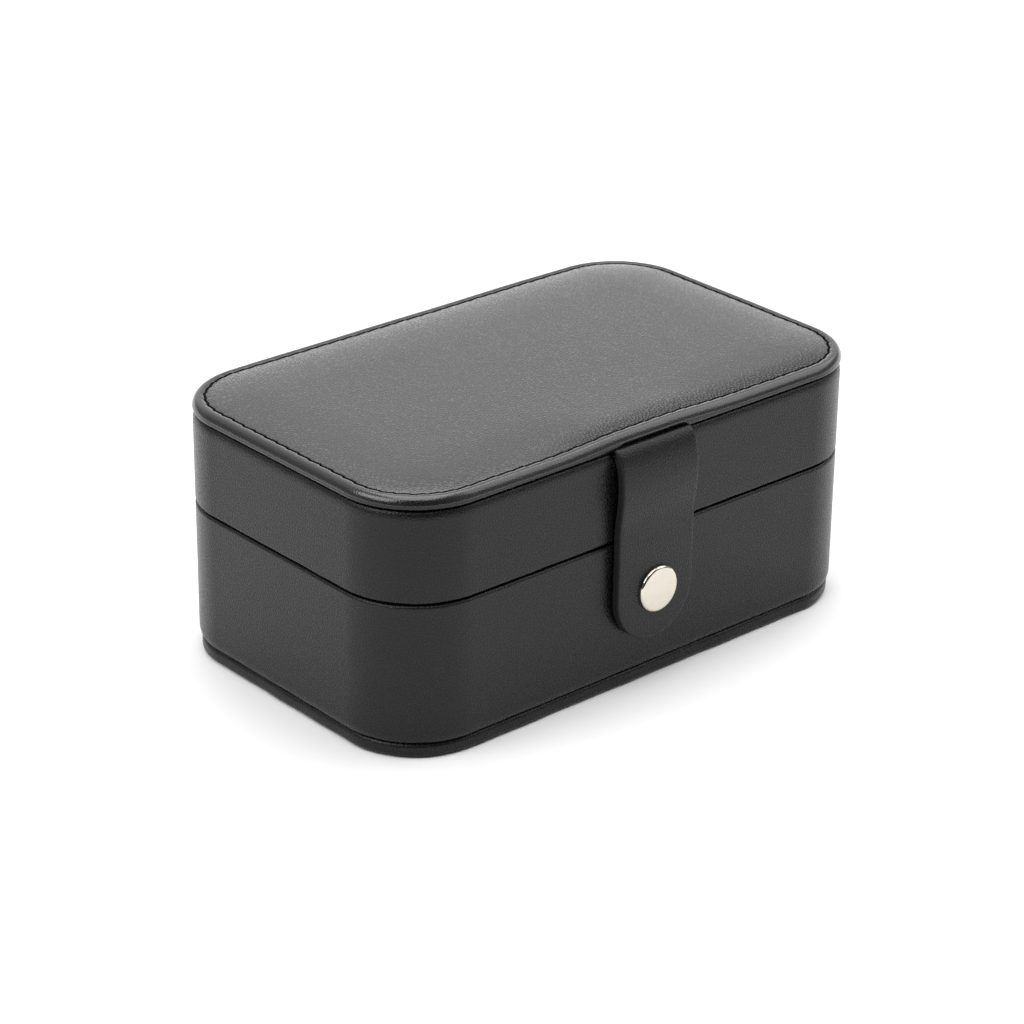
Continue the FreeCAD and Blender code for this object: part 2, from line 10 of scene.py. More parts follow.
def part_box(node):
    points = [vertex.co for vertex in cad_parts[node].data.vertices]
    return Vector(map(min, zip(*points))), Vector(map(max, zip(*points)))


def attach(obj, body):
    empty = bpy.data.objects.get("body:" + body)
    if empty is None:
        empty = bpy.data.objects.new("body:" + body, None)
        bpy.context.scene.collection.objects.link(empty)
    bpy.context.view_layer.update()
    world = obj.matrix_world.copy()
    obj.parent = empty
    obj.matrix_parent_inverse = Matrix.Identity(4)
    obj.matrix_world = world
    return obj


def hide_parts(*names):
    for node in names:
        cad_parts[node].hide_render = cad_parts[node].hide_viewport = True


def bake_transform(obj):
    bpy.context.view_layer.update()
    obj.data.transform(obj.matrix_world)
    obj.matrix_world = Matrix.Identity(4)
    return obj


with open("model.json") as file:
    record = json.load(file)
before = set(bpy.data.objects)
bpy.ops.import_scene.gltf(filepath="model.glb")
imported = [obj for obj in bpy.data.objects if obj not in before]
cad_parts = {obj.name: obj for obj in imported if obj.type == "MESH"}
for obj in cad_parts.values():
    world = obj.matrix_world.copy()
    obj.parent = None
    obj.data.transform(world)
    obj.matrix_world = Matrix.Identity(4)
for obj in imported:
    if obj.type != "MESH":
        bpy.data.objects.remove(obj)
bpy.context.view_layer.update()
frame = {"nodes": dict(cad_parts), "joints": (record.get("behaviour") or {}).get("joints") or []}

bl_info = {
    "name": "Leather jewelry box",
    "version": (1, 0, 0),
    "blender": (4, 5, 0),
    "location": "View3D > Sidebar > Jewelry box",
    "description": "Dresses a jewelry box in pebbled leather, stitching, velvet and polished metal",
    "category": "Object",
}

MM = 0.001
# Points closer than this, in metres, become one
MERGE = 1e-7


def node_box(name):
    """Lowest and highest corner of a CAD node at rest, as two arrays."""
    low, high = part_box(name)
    return np.array(low, dtype=float), np.array(high, dtype=float)


def strap_half():
    """Half the width of the strap's tongue."""
    return node_box("strap_tongue")[1][0]


# Settings


def length_property(name, description, default):
    """A length in metres that a user may change."""
    return bpy.props.FloatProperty(
        name=name, description=description, default=default, unit="LENGTH", precision=5, step=0.01
    )


def colour_property(name, description, default):
    """A linear colour that a user may change."""
    return bpy.props.FloatVectorProperty(
        name=name, description=description, default=default, subtype="COLOR", size=3, min=0.0, max=1.0
    )


def share_property(name, description, default):
    """A number from 0 to 1 that a user may change."""
    return bpy.props.FloatProperty(
        name=name, description=description, default=default, subtype="FACTOR", min=0.0, max=1.0
    )


def number_property(name, description, default, unit="NONE"):
    """A number from 0 up that a user may change."""
    return bpy.props.FloatProperty(name=name, description=description, default=default, unit=unit, min=0.0)


def place_property(name, description, default):
    """A point in metres that a user may change."""
    return bpy.props.FloatVectorProperty(
        name=name, description=description, default=default, subtype="TRANSLATION", unit="LENGTH", size=3
    )


class ShellSettings(bpy.types.PropertyGroup):
    """Leather shell: outline, wrapped edges and how uneven the hand-glued leather is."""

    corner_radius: length_property("Corner radius", "Radius of the box's upright corners", 22 * MM)
    leather: length_property("Leather", "Thickness of the leather", 0.7 * MM)
    board_depth: length_property("Board depth", "Depth of the wall board's inner face", 3.0 * MM)
    edge_radius: length_property("Edge radius", "Leather pulled round a wall's edge", 1.15 * MM)
    edge_height: length_property("Edge height", "Height over which it turns in at the glued edge", 2.7 * MM)
    turn_in: length_property("Turn-in", "Leather turned in behind the wall at the seam", 8.0 * MM)
    waviness: length_property("Waviness", "How far the glued leather strays from flat", 0.1 * MM)
    panel_edge: length_property("Base edge radius", "Round of the base panel's edge", 1.45 * MM)


class TopSettings(bpy.types.PropertyGroup):
    """Padded top: rolled rim, stitched valley and crown."""

    rim_radius: length_property("Rim radius", "Radius of the rolled rim near its crest", 1.76 * MM)
    rim_face: length_property("Rim face radius", "Radius of the rim's flatter outer face", 3.2 * MM)
    rim_foot: length_property("Rim foot radius", "Radius of the rim's tucked-in foot", 1.06 * MM)
    rim_bulge: length_property("Rim bulge", "How far the rim stands out past the walls", 0.1 * MM)
    foot_lift: length_property("Foot lift", "Gap under the rim's foot that makes the dark groove", 0.25 * MM)
    stitch_inset: length_property("Stitch inset", "Distance of the stitches from the edge", 3.3 * MM)
    rim_fall: length_property("Rim fall", "How far the rim falls from its crest to the stitches", 0.3 * MM)
    notch: length_property("Notch", "Depth of the crease that the stitches draw", 0.42 * MM)
    shoulder_rise: length_property("Shoulder rise", "Rise of the pad near the stitches", 0.42 * MM)
    shoulder_reach: length_property("Shoulder reach", "How soon that rise runs out", 1.8 * MM)
    swell_reach: length_property("Swell reach", "How soon the pad's long swell runs out", 9.0 * MM)
    crown_drop: length_property("Crown drop", "How far the crown stays under the solid's", 0.45 * MM)
    crown_inset: length_property("Crown inset", "Where the crown runs out level", 20 * MM)
    panel_turn_in: length_property("Turn-in", "Leather turned in under the panel", 11.5 * MM)
    strap_lift: length_property("Strap lift", "How far the strap lifts the rim over it", 0.8 * MM)
    pucker: length_property("Pucker", "Depth of the puckers beside the stitches", 0.05 * MM)
    stitch_pitch: length_property("Stitch pitch", "Length from one stitch hole to the next", 4.2 * MM)
    stitch_slant: length_property("Stitch slant", "How far a stitch leans across its line", 0.42 * MM)
    thread_radius: length_property("Thread radius", "Half the thickness of the thread", 0.2 * MM)
    pleat_strength: share_property("Pleat strength", "Height of the fine pleats beside the grain's", 0.45)
    pleat_reach: length_property("Pleat reach", "Where the fine pleats run out", 7.5 * MM)


class StrapSettings(bpy.types.PropertyGroup):
    """Snap strap and its polished cap."""

    thickness: length_property("Thickness", "Both leathers and the stiffener", 2.4 * MM)
    standoff: length_property("Stand-off", "Gap between the strap and the base's wall", 0.5 * MM)
    slot_rise: length_property("Slot rise", "How far the strap lifts where it leaves the slot", 1.1 * MM)
    widening: length_property("Widening", "How far the leather passes its solid at each side", 0.3 * MM)
    shift: length_property("Shift", "How far to the left of the middle the strap is sewn in", 0.35 * MM)
    bend_height: length_property("Bend height", "Height over which the strap bends down", 9.5 * MM)
    settle_height: length_property("Settle height", "Height over which the strap sways in", 14 * MM)
    edge_round: length_property("Edge round", "Round of the strap's painted edge", 0.55 * MM)
    cap_bevel: length_property("Cap bevel", "Round of the snap cap's edge", 0.85 * MM)


class LiningSettings(bpy.types.PropertyGroup):
    """Velvet lining, tray and ring rolls."""

    roll_crown: length_property("Roll crown", "How far a ring roll bulges at its middle", 0.5 * MM)
    pad_crown: length_property("Pad crown", "How far a floor pad swells", 0.5 * MM)
    nap: share_property("Nap", "Strength of the brushed marks in the velvet", 0.35)


class FinishSettings(bpy.types.PropertyGroup):
    """Colours of the finishes."""

    leather: colour_property("Leather", "Colour of the leather", (0.0075, 0.0075, 0.008))
    wall_gloss: share_property("Wall gloss", "Strength of the walls' reflection", 0.265)
    top_gloss: share_property("Top gloss", "Strength of the padded top's reflection", 0.75)
    thread: colour_property("Thread", "Colour of the stitching", (0.004, 0.004, 0.0045))
    grain: number_property("Grain", "Pebbles of the leather in a metre", 1050.0)
    metal: colour_property("Metal", "Colour of the plated snap", (0.62, 0.575, 0.5))
    velvet: colour_property("Velvet", "Colour of the lining", (0.135, 0.125, 0.12))
    board: colour_property("Board", "Colour of the raw board", (0.36, 0.33, 0.29))
    floor: colour_property("Floor", "Colour of the floor", (0.9, 0.9, 0.9))


class StageSettings(bpy.types.PropertyGroup):
    """Camera, floor and light."""

    camera_place: place_property("Camera place", "Where the camera stands", (-0.507085, -0.572022, 0.388445))
    camera_target: place_property("Camera target", "What it looks at", (0.005631, 0.010066, 0.023998))
    camera_roll: bpy.props.FloatProperty(
        name="Camera roll", description="Turn about the line of sight", subtype="ANGLE",
        default=math.radians(0.6752),
    )
    camera_lens: number_property("Lens", "Focal length on a 36 mm sensor", 113.339, unit="CAMERA")
    sky_base: number_property("Sky", "Light all round", 0.4)
    sky_bright: number_property("Far sky", "Added light low on the far side", 0.69)
    sky_horizon: number_property("Horizon", "Added light at the far horizon", 2.0)
    sky_back: number_property("Back sky", "Added light high at the back", 0.6)
    sky_dark: share_property("Dark sky", "Share left behind the camera", 0.2)
    top_light: number_property("Top light", "Soft box overhead", 11.6, unit="POWER")
    right_light: number_property("Right light", "Soft box on the right", 8.0, unit="POWER")
    left_light: number_property("Left light", "Soft box on the left", 7.5, unit="POWER")
    floor_size: length_property("Floor size", "Width of the floor", 40.0)


GROUPS = {
    "shell": ShellSettings,
    "top": TopSettings,
    "strap": StrapSettings,
    "lining": LiningSettings,
    "finish": FinishSettings,
    "stage": StageSettings,
}


class JewelBoxSettings(bpy.types.PropertyGroup):
    """All of the box's settings, one group for each part of the work."""

    __annotations__ = {name: bpy.props.PointerProperty(type=group) for name, group in GROUPS.items()}


def settings():
    """The settings of the scene in use."""
    return bpy.context.scene.jewel_box


# Numbers for grids and curves


def arc(centre, radius, start, end, count):
    """Points of a circle from one angle to another, in degrees."""
    angle = np.radians(np.linspace(start, end, count))
    return np.stack((centre[0] + radius * np.cos(angle), centre[1] + radius * np.sin(angle)), axis=-1)


def line(start, end, count):
    """Evenly spaced points from start to end."""
    share = np.linspace(0, 1, count)[:, None]
    return np.array(start) * (1 - share) + np.array(end) * share


def smooth_step(value, low, high):
    """0 below low, 1 above high, and a smooth S between."""
    share = np.clip((value - low) / (high - low), 0, 1)
    return share * share * (3 - 2 * share)


def bell(distance, reach):
    """1 at no distance, and exp of minus the square of distance over reach away from there."""
    return np.exp(-((distance / reach) ** 2))


def waves(place, lengths, seed):
    """A smooth uneven line: a sum of sines of the given wave lengths, with drawn phases."""
    draw = np.random.default_rng(seed)
    phases = draw.uniform(0, 2 * np.pi, len(lengths))
    weights = draw.uniform(0.6, 1.0, len(lengths))
    total = sum(w * np.sin(2 * np.pi * place / l + p) for w, l, p in zip(weights, lengths, phases))
    return total / np.sqrt(len(lengths))


def at_height(flat, height):
    """Points of a flat grid at a height, which may vary over it."""
    height = np.broadcast_to(height, flat.shape[:-1])
    return np.concatenate((flat, height[..., None]), axis=-1)


def path_lengths(profile):
    """Length along a profile from its first point to each of its points."""
    steps = np.linalg.norm(np.diff(profile, axis=0), axis=1)
    return np.concatenate(([0.0], np.cumsum(steps)))


class Outline:
    """The box's rounded rectangle, walked by arc length from the middle of the front.

    A point is a place on the rectangle of the corner centres plus the corner radius along a normal:
    on a straight side the place moves and the normal stands, on a corner the normal turns.
    """

    def __init__(self, length, width, radius, count, closing=False):
        x, y = length / 2 - radius, width / 2 - radius
        quarter = radius * np.pi / 2
        steps = np.array([0, x, quarter, 2 * y, quarter, 2 * x, quarter, 2 * y, quarter, x])
        stops = np.cumsum(steps)
        self.perimeter = stops[-1]
        self.s = np.linspace(0, self.perimeter, count, endpoint=closing)
        self.radius = radius
        core_x = np.interp(self.s, stops, [0, x, x, x, x, -x, -x, -x, -x, 0])
        core_y = np.interp(self.s, stops, [-y, -y, -y, y, y, y, y, -y, -y, -y])
        self.core = np.stack((core_x, core_y), axis=-1)
        turn = np.radians(np.interp(self.s, stops, [-90, -90, 0, 0, 90, 90, 180, 180, 270, 270]))
        self.normal = np.stack((np.cos(turn), np.sin(turn)), axis=-1)
        self.middle = np.stack((np.clip(core_x, y - x, x - y), np.zeros(count)), axis=-1)

    def sweep(self, inset, height):
        """Grid of points: outline points moved in by inset, at height. Both may vary along it."""
        inset, height = np.broadcast_arrays(np.atleast_2d(inset), np.atleast_2d(height))
        flat = self.core[:, None] + self.normal[:, None] * (self.radius - inset)[..., None]
        return at_height(flat, height)

    def to_middle(self, inset, shares):
        """Grid of flat points from an inset ring, at share 1, to the middle line, at share 0."""
        ring = self.core + self.normal * (self.radius - inset)
        return self.middle[:, None] + (ring - self.middle)[:, None] * np.asarray(shares)[None, :, None]

    def unrolled(self, profile):
        """Flat map of a swept profile: rolled out level from its last point, which stays in place."""
        lengths = path_lengths(profile)
        return self.sweep(profile[-1, 0] + lengths - lengths[-1], 0.0)[..., :2]


def shell_outline(count, closing=False):
    """The outline of the leather walls, from the frame's own box. A closing point repeats the first."""
    low, high = node_box("base_wall_cover")
    return Outline(high[0] - low[0], high[1] - low[1], settings().shell.corner_radius, count, closing)


# Meshes


def grid_faces(rows, columns, wrap_rows, wrap_columns, gap=None):
    """Quads of a grid of points, closed round either way, with one column left out if asked."""
    i = np.arange(rows if wrap_rows else rows - 1)
    j = np.arange(columns if wrap_columns else columns - 1)
    i, j = np.meshgrid(i, j[j != gap], indexing="ij")
    i2, j2 = (i + 1) % rows, (j + 1) % columns
    quads = np.stack((i * columns + j, i2 * columns + j, i2 * columns + j2, i * columns + j2), axis=-1)
    return quads.reshape(-1, 4)


def merge_points(mesh, distance):
    """Joins points that coincide and turns all faces outwards."""
    work = bmesh.new()
    work.from_mesh(mesh)
    bmesh.ops.remove_doubles(work, verts=work.verts, dist=distance)
    bmesh.ops.dissolve_degenerate(work, edges=work.edges, dist=distance)
    bmesh.ops.recalc_face_normals(work, faces=work.faces)
    work.to_mesh(mesh)
    work.free()


def mesh_piece(name, points, faces, material, merge=0.0, maps=None, others=()):
    """A smooth mesh object at the origin from points and a list of faces, with coincident points merged.

    Each map gives every point two lengths over the surface, in metres, as a UV map of that name.
    Each of the others is a further material and a mask of the faces that take it.
    """
    mesh = bpy.data.meshes.new(name)
    mesh.from_pydata(points.reshape(-1, 3), [], faces)
    corners = np.empty(len(mesh.loops), dtype=np.int32)
    mesh.loops.foreach_get("vertex_index", corners)
    for label, lengths in (maps or {}).items():
        layer = mesh.uv_layers.new(name=label)
        layer.uv.foreach_set("vector", lengths.reshape(-1, 2)[corners].astype(np.float32).ravel())
    piece = bpy.data.objects.new(name, mesh)
    bpy.context.scene.collection.objects.link(piece)
    mesh.materials.append(material)
    index = np.zeros(len(faces), dtype=np.int32)
    for number, (other, mask) in enumerate(others, 1):
        mesh.materials.append(other)
        index[mask] = number
    mesh.polygons.foreach_set("material_index", index)
    if merge:
        merge_points(mesh, merge)
    mesh.polygons.foreach_set("use_smooth", np.ones(len(mesh.polygons), dtype=bool))
    mesh.update()
    return piece


def grid_piece(name, points, material, wrap=(True, False), gap=None, merge=MERGE, maps=None, bands=()):
    """A mesh from a grid of points, closed round along its rows, its columns or both.

    A gap parts two columns that both lie on the middle line. Each band gives a further material and the
    columns, before the gap, that it lies between.
    """
    columns = points.shape[1]
    faces = grid_faces(points.shape[0], columns, *wrap, gap)
    column = faces[:, 0] % columns
    others = [(other, (column >= first) & (column < last)) for other, first, last in bands]
    return mesh_piece(name, points, faces.tolist(), material, merge, maps, others)


def ring_piece(name, points, material, gap=None, maps=None, bands=()):
    """A closed profile carried once round. With maps, the last row lies on the first, so that maps run on."""
    return grid_piece(name, points, material, (maps is None, True), gap, maps=maps, bands=bands)


def lathe(profile, centre, count):
    """Grid of a profile of (distance along -Y, radius) turned about an axis along Y."""
    angle = np.arange(count)[:, None] * 2 * np.pi / count
    out, radius = profile[None, :, 0], profile[None, :, 1]
    x = centre[0] + radius * np.sin(angle)
    z = centre[2] + radius * np.cos(angle)
    y = np.broadcast_to(centre[1] - out, x.shape)
    return np.stack((x, y, z), axis=-1)


# Finishes


def set_inputs(tree, node, inputs):
    """Sets each named input of a node to a value, or links it from a socket. _2 means the third input."""
    for key, value in inputs.items():
        socket = node.inputs[int(key[1:])] if key[0] == "_" else node.inputs[key.replace("_", " ")]
        if isinstance(value, bpy.types.NodeSocket):
            tree.links.new(value, socket)
        else:
            socket.default_value = value
    return node


def add_node(tree, kind, options=None, **inputs):
    """A shader node with its options, and each named input set to a value or linked from a socket."""
    node = tree.nodes.new(kind)
    for key, value in (options or {}).items():
        setattr(node, key, value)
    return set_inputs(tree, node, inputs)


def maths(tree, operation, first, second=0.0):
    """The result of a Math node."""
    return add_node(tree, "ShaderNodeMath", {"operation": operation}, _0=first, _1=second).outputs[0]


def times(tree, first, second):
    """The product of two values."""
    return maths(tree, "MULTIPLY", first, second)


def plus(tree, first, second):
    """The sum of two values."""
    return maths(tree, "ADD", first, second)


def ranged(tree, value, low, high, to_low, to_high):
    """A value mapped smoothly from one range to another."""
    smooth = {"interpolation_type": "SMOOTHSTEP"}
    limits = {"From_Min": low, "From_Max": high, "To_Min": to_low, "To_Max": to_high}
    return add_node(tree, "ShaderNodeMapRange", smooth, Value=value, **limits).outputs[0]


def by_mask(tree, mask, off, on):
    """A value that goes smoothly from off, where a mask is 0, to on, where it is 1."""
    return ranged(tree, mask, 0.0, 1.0, off, on)


def mixed(tree, factor, first, second):
    """A colour between two colours."""
    return add_node(tree, "ShaderNodeMix", {"data_type": "RGBA"}, _0=factor, _6=first, _7=second).outputs[2]


def grown(colour, factor):
    """A colour made lighter or darker, with full alpha."""
    return tuple(min(channel * factor, 1.0) for channel in colour) + (1.0,)


def toned(tree, factor, colour, dark, light):
    """A colour between a darker and a lighter tone of it."""
    return mixed(tree, factor, grown(colour, dark), grown(colour, light))


def noise(tree, place, scale, detail=2.0, distortion=0.0, dimensions="3D"):
    """The value of a noise texture."""
    inputs = {"Vector": place, "Scale": scale, "Detail": detail, "Distortion": distortion}
    return add_node(tree, "ShaderNodeTexNoise", {"noise_dimensions": dimensions}, **inputs).outputs[0]


def bumped(tree, height, strength, depth):
    """A normal bent by a height that stands depth tall."""
    return add_node(tree, "ShaderNodeBump", Height=height, Strength=strength, Distance=depth).outputs[0]


def uv_place(tree, name):
    """The coordinates of a UV map."""
    return add_node(tree, "ShaderNodeUVMap", {"uv_map": name}).outputs[0]


def object_place(tree):
    """Object coordinates."""
    return tree.nodes.new("ShaderNodeTexCoord").outputs["Object"]


def new_group(name, inputs, outputs):
    """An empty shader group, its given sockets and its output node. An input with no default is a vector."""
    tree = bpy.data.node_groups.new(name, "ShaderNodeTree")
    for label, default in inputs.items():
        kind = "NodeSocketVector" if default is None else "NodeSocketFloat"
        socket = tree.interface.new_socket(name=label, in_out="INPUT", socket_type=kind)
        if default is not None:
            socket.default_value = default
    for label in outputs:
        tree.interface.new_socket(name=label, in_out="OUTPUT", socket_type="NodeSocketFloat")
    return tree, tree.nodes.new("NodeGroupInput").outputs, tree.nodes.new("NodeGroupOutput")


# The grain's turn in radians, where the round side of a pebble ends, and the height of a pebble and of what
# is drawn on top of it
GRAIN_TURN = 0.31
PEBBLE_SIDE = 0.36
PEBBLE_HEIGHT = 0.7
PEBBLE_SPREAD = 0.6
# Pores and slow patches to each pebble, and the height of a pore
PORES = 2.7
PATCHES = 0.03
PORE_HEIGHT = 0.3


def pebble_grain_group():
    """Leather grain: rounded pebbles of uneven height between creases, with finer pores.

    Height is the relief, Crease is 1 in the creases, Mottle drifts slowly over the surface. The grain is
    turned a little, so that it doesn't line up with the box.
    """
    sockets = ("Height", "Crease", "Mottle")
    tree, given, result = new_group("Pebble grain", {"Vector": None, "Scale": 1200.0}, sockets)
    scale = given["Scale"]
    turned = add_node(tree, "ShaderNodeMapping", Vector=given["Vector"], Rotation=(0.0, 0.0, GRAIN_TURN))
    place = turned.outputs[0]
    flat = {"voronoi_dimensions": "2D"}
    edge = {**flat, "feature": "DISTANCE_TO_EDGE"}
    edges = add_node(tree, "ShaderNodeTexVoronoi", edge, Vector=place, Scale=scale)
    cells = add_node(tree, "ShaderNodeTexVoronoi", flat, Vector=place, Scale=scale)
    pebble = ranged(tree, edges.outputs["Distance"], 0.0, PEBBLE_SIDE, 0.0, 1.0)
    drawn = add_node(tree, "ShaderNodeSeparateColor", Color=cells.outputs["Color"]).outputs[0]
    tall = plus(tree, times(tree, drawn, PEBBLE_SPREAD), PEBBLE_HEIGHT)
    pores = noise(tree, place, times(tree, scale, PORES), dimensions="2D")
    height = plus(tree, times(tree, pebble, tall), times(tree, pores, PORE_HEIGHT))
    drift = noise(tree, place, times(tree, scale, PATCHES), detail=3.0, dimensions="2D")
    crease = maths(tree, "SUBTRACT", 1.0, pebble)
    set_inputs(tree, result, {"Height": height, "Crease": crease, "Mottle": drift})


def velvet_nap_group():
    """Velvet: a fine pile, and slow brushed marks where the pile leans the other way."""
    tree, given, result = new_group("Velvet nap", {"Vector": None, "Nap": 0.35}, ("Height", "Shade"))
    pile = noise(tree, given["Vector"], 4200.0)
    marks = noise(tree, given["Vector"], 55.0, detail=4.0, distortion=0.6)
    brushed = ranged(tree, marks, 0.35, 0.65, 0.0, 1.0)
    shade = plus(tree, times(tree, brushed, given["Nap"]), pile)
    set_inputs(tree, result, {"Height": pile, "Shade": shade})


def add_group(tree, name, **inputs):
    """The outputs of a shader group put into a tree."""
    return add_node(tree, "ShaderNodeGroup", {"node_tree": bpy.data.node_groups[name]}, **inputs).outputs


def new_tree(name):
    """The node tree of a new material."""
    material = bpy.data.materials.new(name)
    material.use_nodes = True
    return material.node_tree


def surface(tree, **inputs):
    """Sets or links inputs of a material's Principled shader."""
    set_inputs(tree, tree.nodes["Principled BSDF"], inputs)


# Pleats in a metre along and across the stitches
PLEATS = (1500.0, 260.0, 1.0)
# How far in from the stitches the leather bends over the pad
PAD_BEND = 12 * MM
# Shares of the way round between which the front ends on the right, and begins on the left
FRONT_RIGHT = (0.13, 0.17)
FRONT_LEFT = (0.88, 0.99)


def stitch_masks(tree):
    """Reads the padded top's Along map: masks of places along and across its edge.

    They are its smooth rim, fine pleats inside the stitches, the leather bent over the pad's edge, and the
    part of that in front, which hands wear duller. The pleats are noise drawn out across the stitches that
    fades inwards.
    """
    top = settings().top
    seat = top.stitch_inset
    perimeter = shell_outline(2).perimeter
    along = uv_place(tree, "Along")
    parts = add_node(tree, "ShaderNodeSeparateXYZ", Vector=along).outputs
    place, inset = parts["X"], parts["Y"]
    rim = ranged(tree, inset, seat - 0.6 * MM, seat - 0.1 * MM, 1.0, 0.0)
    drawn = add_node(tree, "ShaderNodeMapping", Vector=along, Scale=PLEATS).outputs[0]
    begin = ranged(tree, inset, seat, seat + 0.6 * MM, 0.0, top.pleat_strength)
    fade = ranged(tree, inset, seat + 1.5 * MM, top.pleat_reach, 1.0, 0.0)
    pleats = times(tree, noise(tree, drawn, 1.0), times(tree, begin, fade))
    right = ranged(tree, place, *(share * perimeter for share in FRONT_RIGHT), 1.0, 0.0)
    left = ranged(tree, place, *(share * perimeter for share in FRONT_LEFT), 0.0, 1.0)
    past = ranged(tree, inset, seat - 0.1 * MM, seat + 0.2 * MM, 0.0, 1.0)
    beside = times(tree, past, ranged(tree, inset, seat, seat + PAD_BEND, 1.0, 0.0))
    worn = times(tree, beside, maths(tree, "MAXIMUM", right, left))
    return rim, pleats, beside, worn


# Tones of the leather's patches and the painted shade of its creases, how far that painted shade shows, and
# what roughness each adds
PATCH_TONES = (0.85, 1.15)
CREASE_SHADE_TONE = 0.3
CREASE_SHADE_SHARE = 0.5
CREASE_ROUGHNESS = 0.15
PATCH_ROUGHNESS = 0.02
# Strength of the padded top's grain on the pad and on its rim, its growth beside the stitches and in front
PAD_GRAIN = 0.55
RIM_GRAIN = 0.3
BESIDE_GROWTH = 1.6
FRONT_GROWTH = 2.4
# Added roughness of pebbles and of creases where the front is worn, and the rim's lower roughness
WORN_PEBBLES = 0.12
WORN_CREASES = 0.64
RIM_POLISH = -0.05


def leather_material(name, depth, rough, gloss, stitched=False):
    """Coated leather: pebbles catch light, and the creases between them are duller and darkened with painted
    shade.

    Stitched leather is drawn smooth over its rim, and its pebbles stand up where it bends over the pad, most
    of all in front, where the creases are worn dull.
    """
    tree = new_tree(name)
    colours = settings().finish
    grain = add_group(tree, "Pebble grain", Vector=uv_place(tree, "Flat"), Scale=colours.grain)
    height, strength = grain["Height"], 1.0
    crease, mottle = grain["Crease"], grain["Mottle"]
    patches = toned(tree, mottle, colours.leather, *PATCH_TONES)
    # painted shade: the colour darkens in the creases between the pebbles
    creased = mixed(tree, times(tree, crease, CREASE_SHADE_SHARE), patches, grown(colours.leather, CREASE_SHADE_TONE))
    uneven = plus(tree, times(tree, crease, CREASE_ROUGHNESS), times(tree, mottle, PATCH_ROUGHNESS))
    roughness = plus(tree, uneven, rough)
    if stitched:
        rim, pleats, beside, worn = stitch_masks(tree)
        height = plus(tree, height, pleats)
        growth = plus(tree, by_mask(tree, beside, 1.0, BESIDE_GROWTH), by_mask(tree, worn, 0.0, FRONT_GROWTH))
        strength = times(tree, by_mask(tree, rim, PAD_GRAIN, RIM_GRAIN), growth)
        dull = by_mask(tree, crease, WORN_PEBBLES, WORN_CREASES)
        roughness = plus(tree, roughness, times(tree, rim, RIM_POLISH))
        roughness = plus(tree, roughness, times(tree, worn, dull))
    normal = bumped(tree, height, strength, depth)
    surface(tree, Base_Color=creased, Roughness=roughness, Specular_IOR_Level=gloss, Normal=normal)


def velvet_material(name, colour, nap):
    """Short-pile velvet: matte, soft at the edges, with brushed marks."""
    tree = new_tree(name)
    pile = add_group(tree, "Velvet nap", Vector=object_place(tree), Nap=nap)
    shade = ranged(tree, pile["Shade"], 0.3, 1.0, 0.0, 1.0)
    surface(tree, Base_Color=toned(tree, shade, colour, 0.72, 1.28), Roughness=0.95, Specular_IOR_Level=0.15)
    surface(tree, Sheen_Weight=0.55, Sheen_Roughness=0.4, Sheen_Tint=grown(colour, 4.0))
    surface(tree, Normal=bumped(tree, pile["Height"], 0.5, 0.15 * MM))


def metal_material(name, colour, rough):
    """Polished plate with a faint haze and a little unevenness."""
    tree = new_tree(name)
    place = object_place(tree)
    haze = noise(tree, place, 420.0, detail=4.0)
    surface(tree, Base_Color=toned(tree, haze, colour, 0.92, 1.05), Metallic=1.0)
    surface(tree, Roughness=ranged(tree, haze, 0.3, 0.7, rough, rough * 1.8))
    surface(tree, Normal=bumped(tree, noise(tree, place, 60.0), 0.2, 0.05 * MM))


def mirror_material(name):
    """Silvered glass with a faint haze."""
    tree = new_tree(name)
    haze = noise(tree, object_place(tree), 30.0, detail=3.0)
    silver = mixed(tree, haze, (0.86, 0.88, 0.89, 1.0), (0.9, 0.92, 0.93, 1.0))
    surface(tree, Base_Color=silver, Metallic=1.0, Roughness=ranged(tree, haze, 0.3, 0.7, 0.01, 0.03))


def fibre_material(name, colour, scale, rough, gloss=0.12):
    """Raw board, cord, foam, thread, edge paint made lighter as a painted highlight, and the painted shade in
    the stitches' crease: short fibres in two tones.
    """
    tree = new_tree(name)
    fibre = noise(tree, object_place(tree), scale, detail=5.0, distortion=1.2)
    surface(tree, Base_Color=toned(tree, fibre, colour, 0.7, 1.25), Specular_IOR_Level=gloss)
    surface(tree, Roughness=ranged(tree, fibre, 0.2, 0.8, rough, min(rough * 1.3, 1.0)))
    surface(tree, Normal=bumped(tree, fibre, 0.6, 0.05 * MM))


def finish(name):
    """A finish that the first operator made."""
    return bpy.data.materials[name]


CAD_FINISHES = {
    "Raw board": ("base_board", "base_wall_board", "lid_top_board", "lid_wall_board"),
    "Velvet": (
        "base_lining_wall", "base_tray_ledge", "base_divider_left", "base_divider_right", "lid_lining_wall",
        "lid_lining_panel", "tray_floor", "tray_wall", "tray_cross_divider", "tray_long_divider",
    ),
    "Cord": ("lid_rim_cord",),
    "Plated metal": ("snap_stud", "snap_eyelet", "snap_socket"),
    "Spring wire": ("snap_spring",),
    "Mirror": ("mirror",),
}
# Painted shade: the rim's foot reflects less than the rest of the top, so it stays dark beside the groove
FOOT_SHADE_GLOSS = 0.42


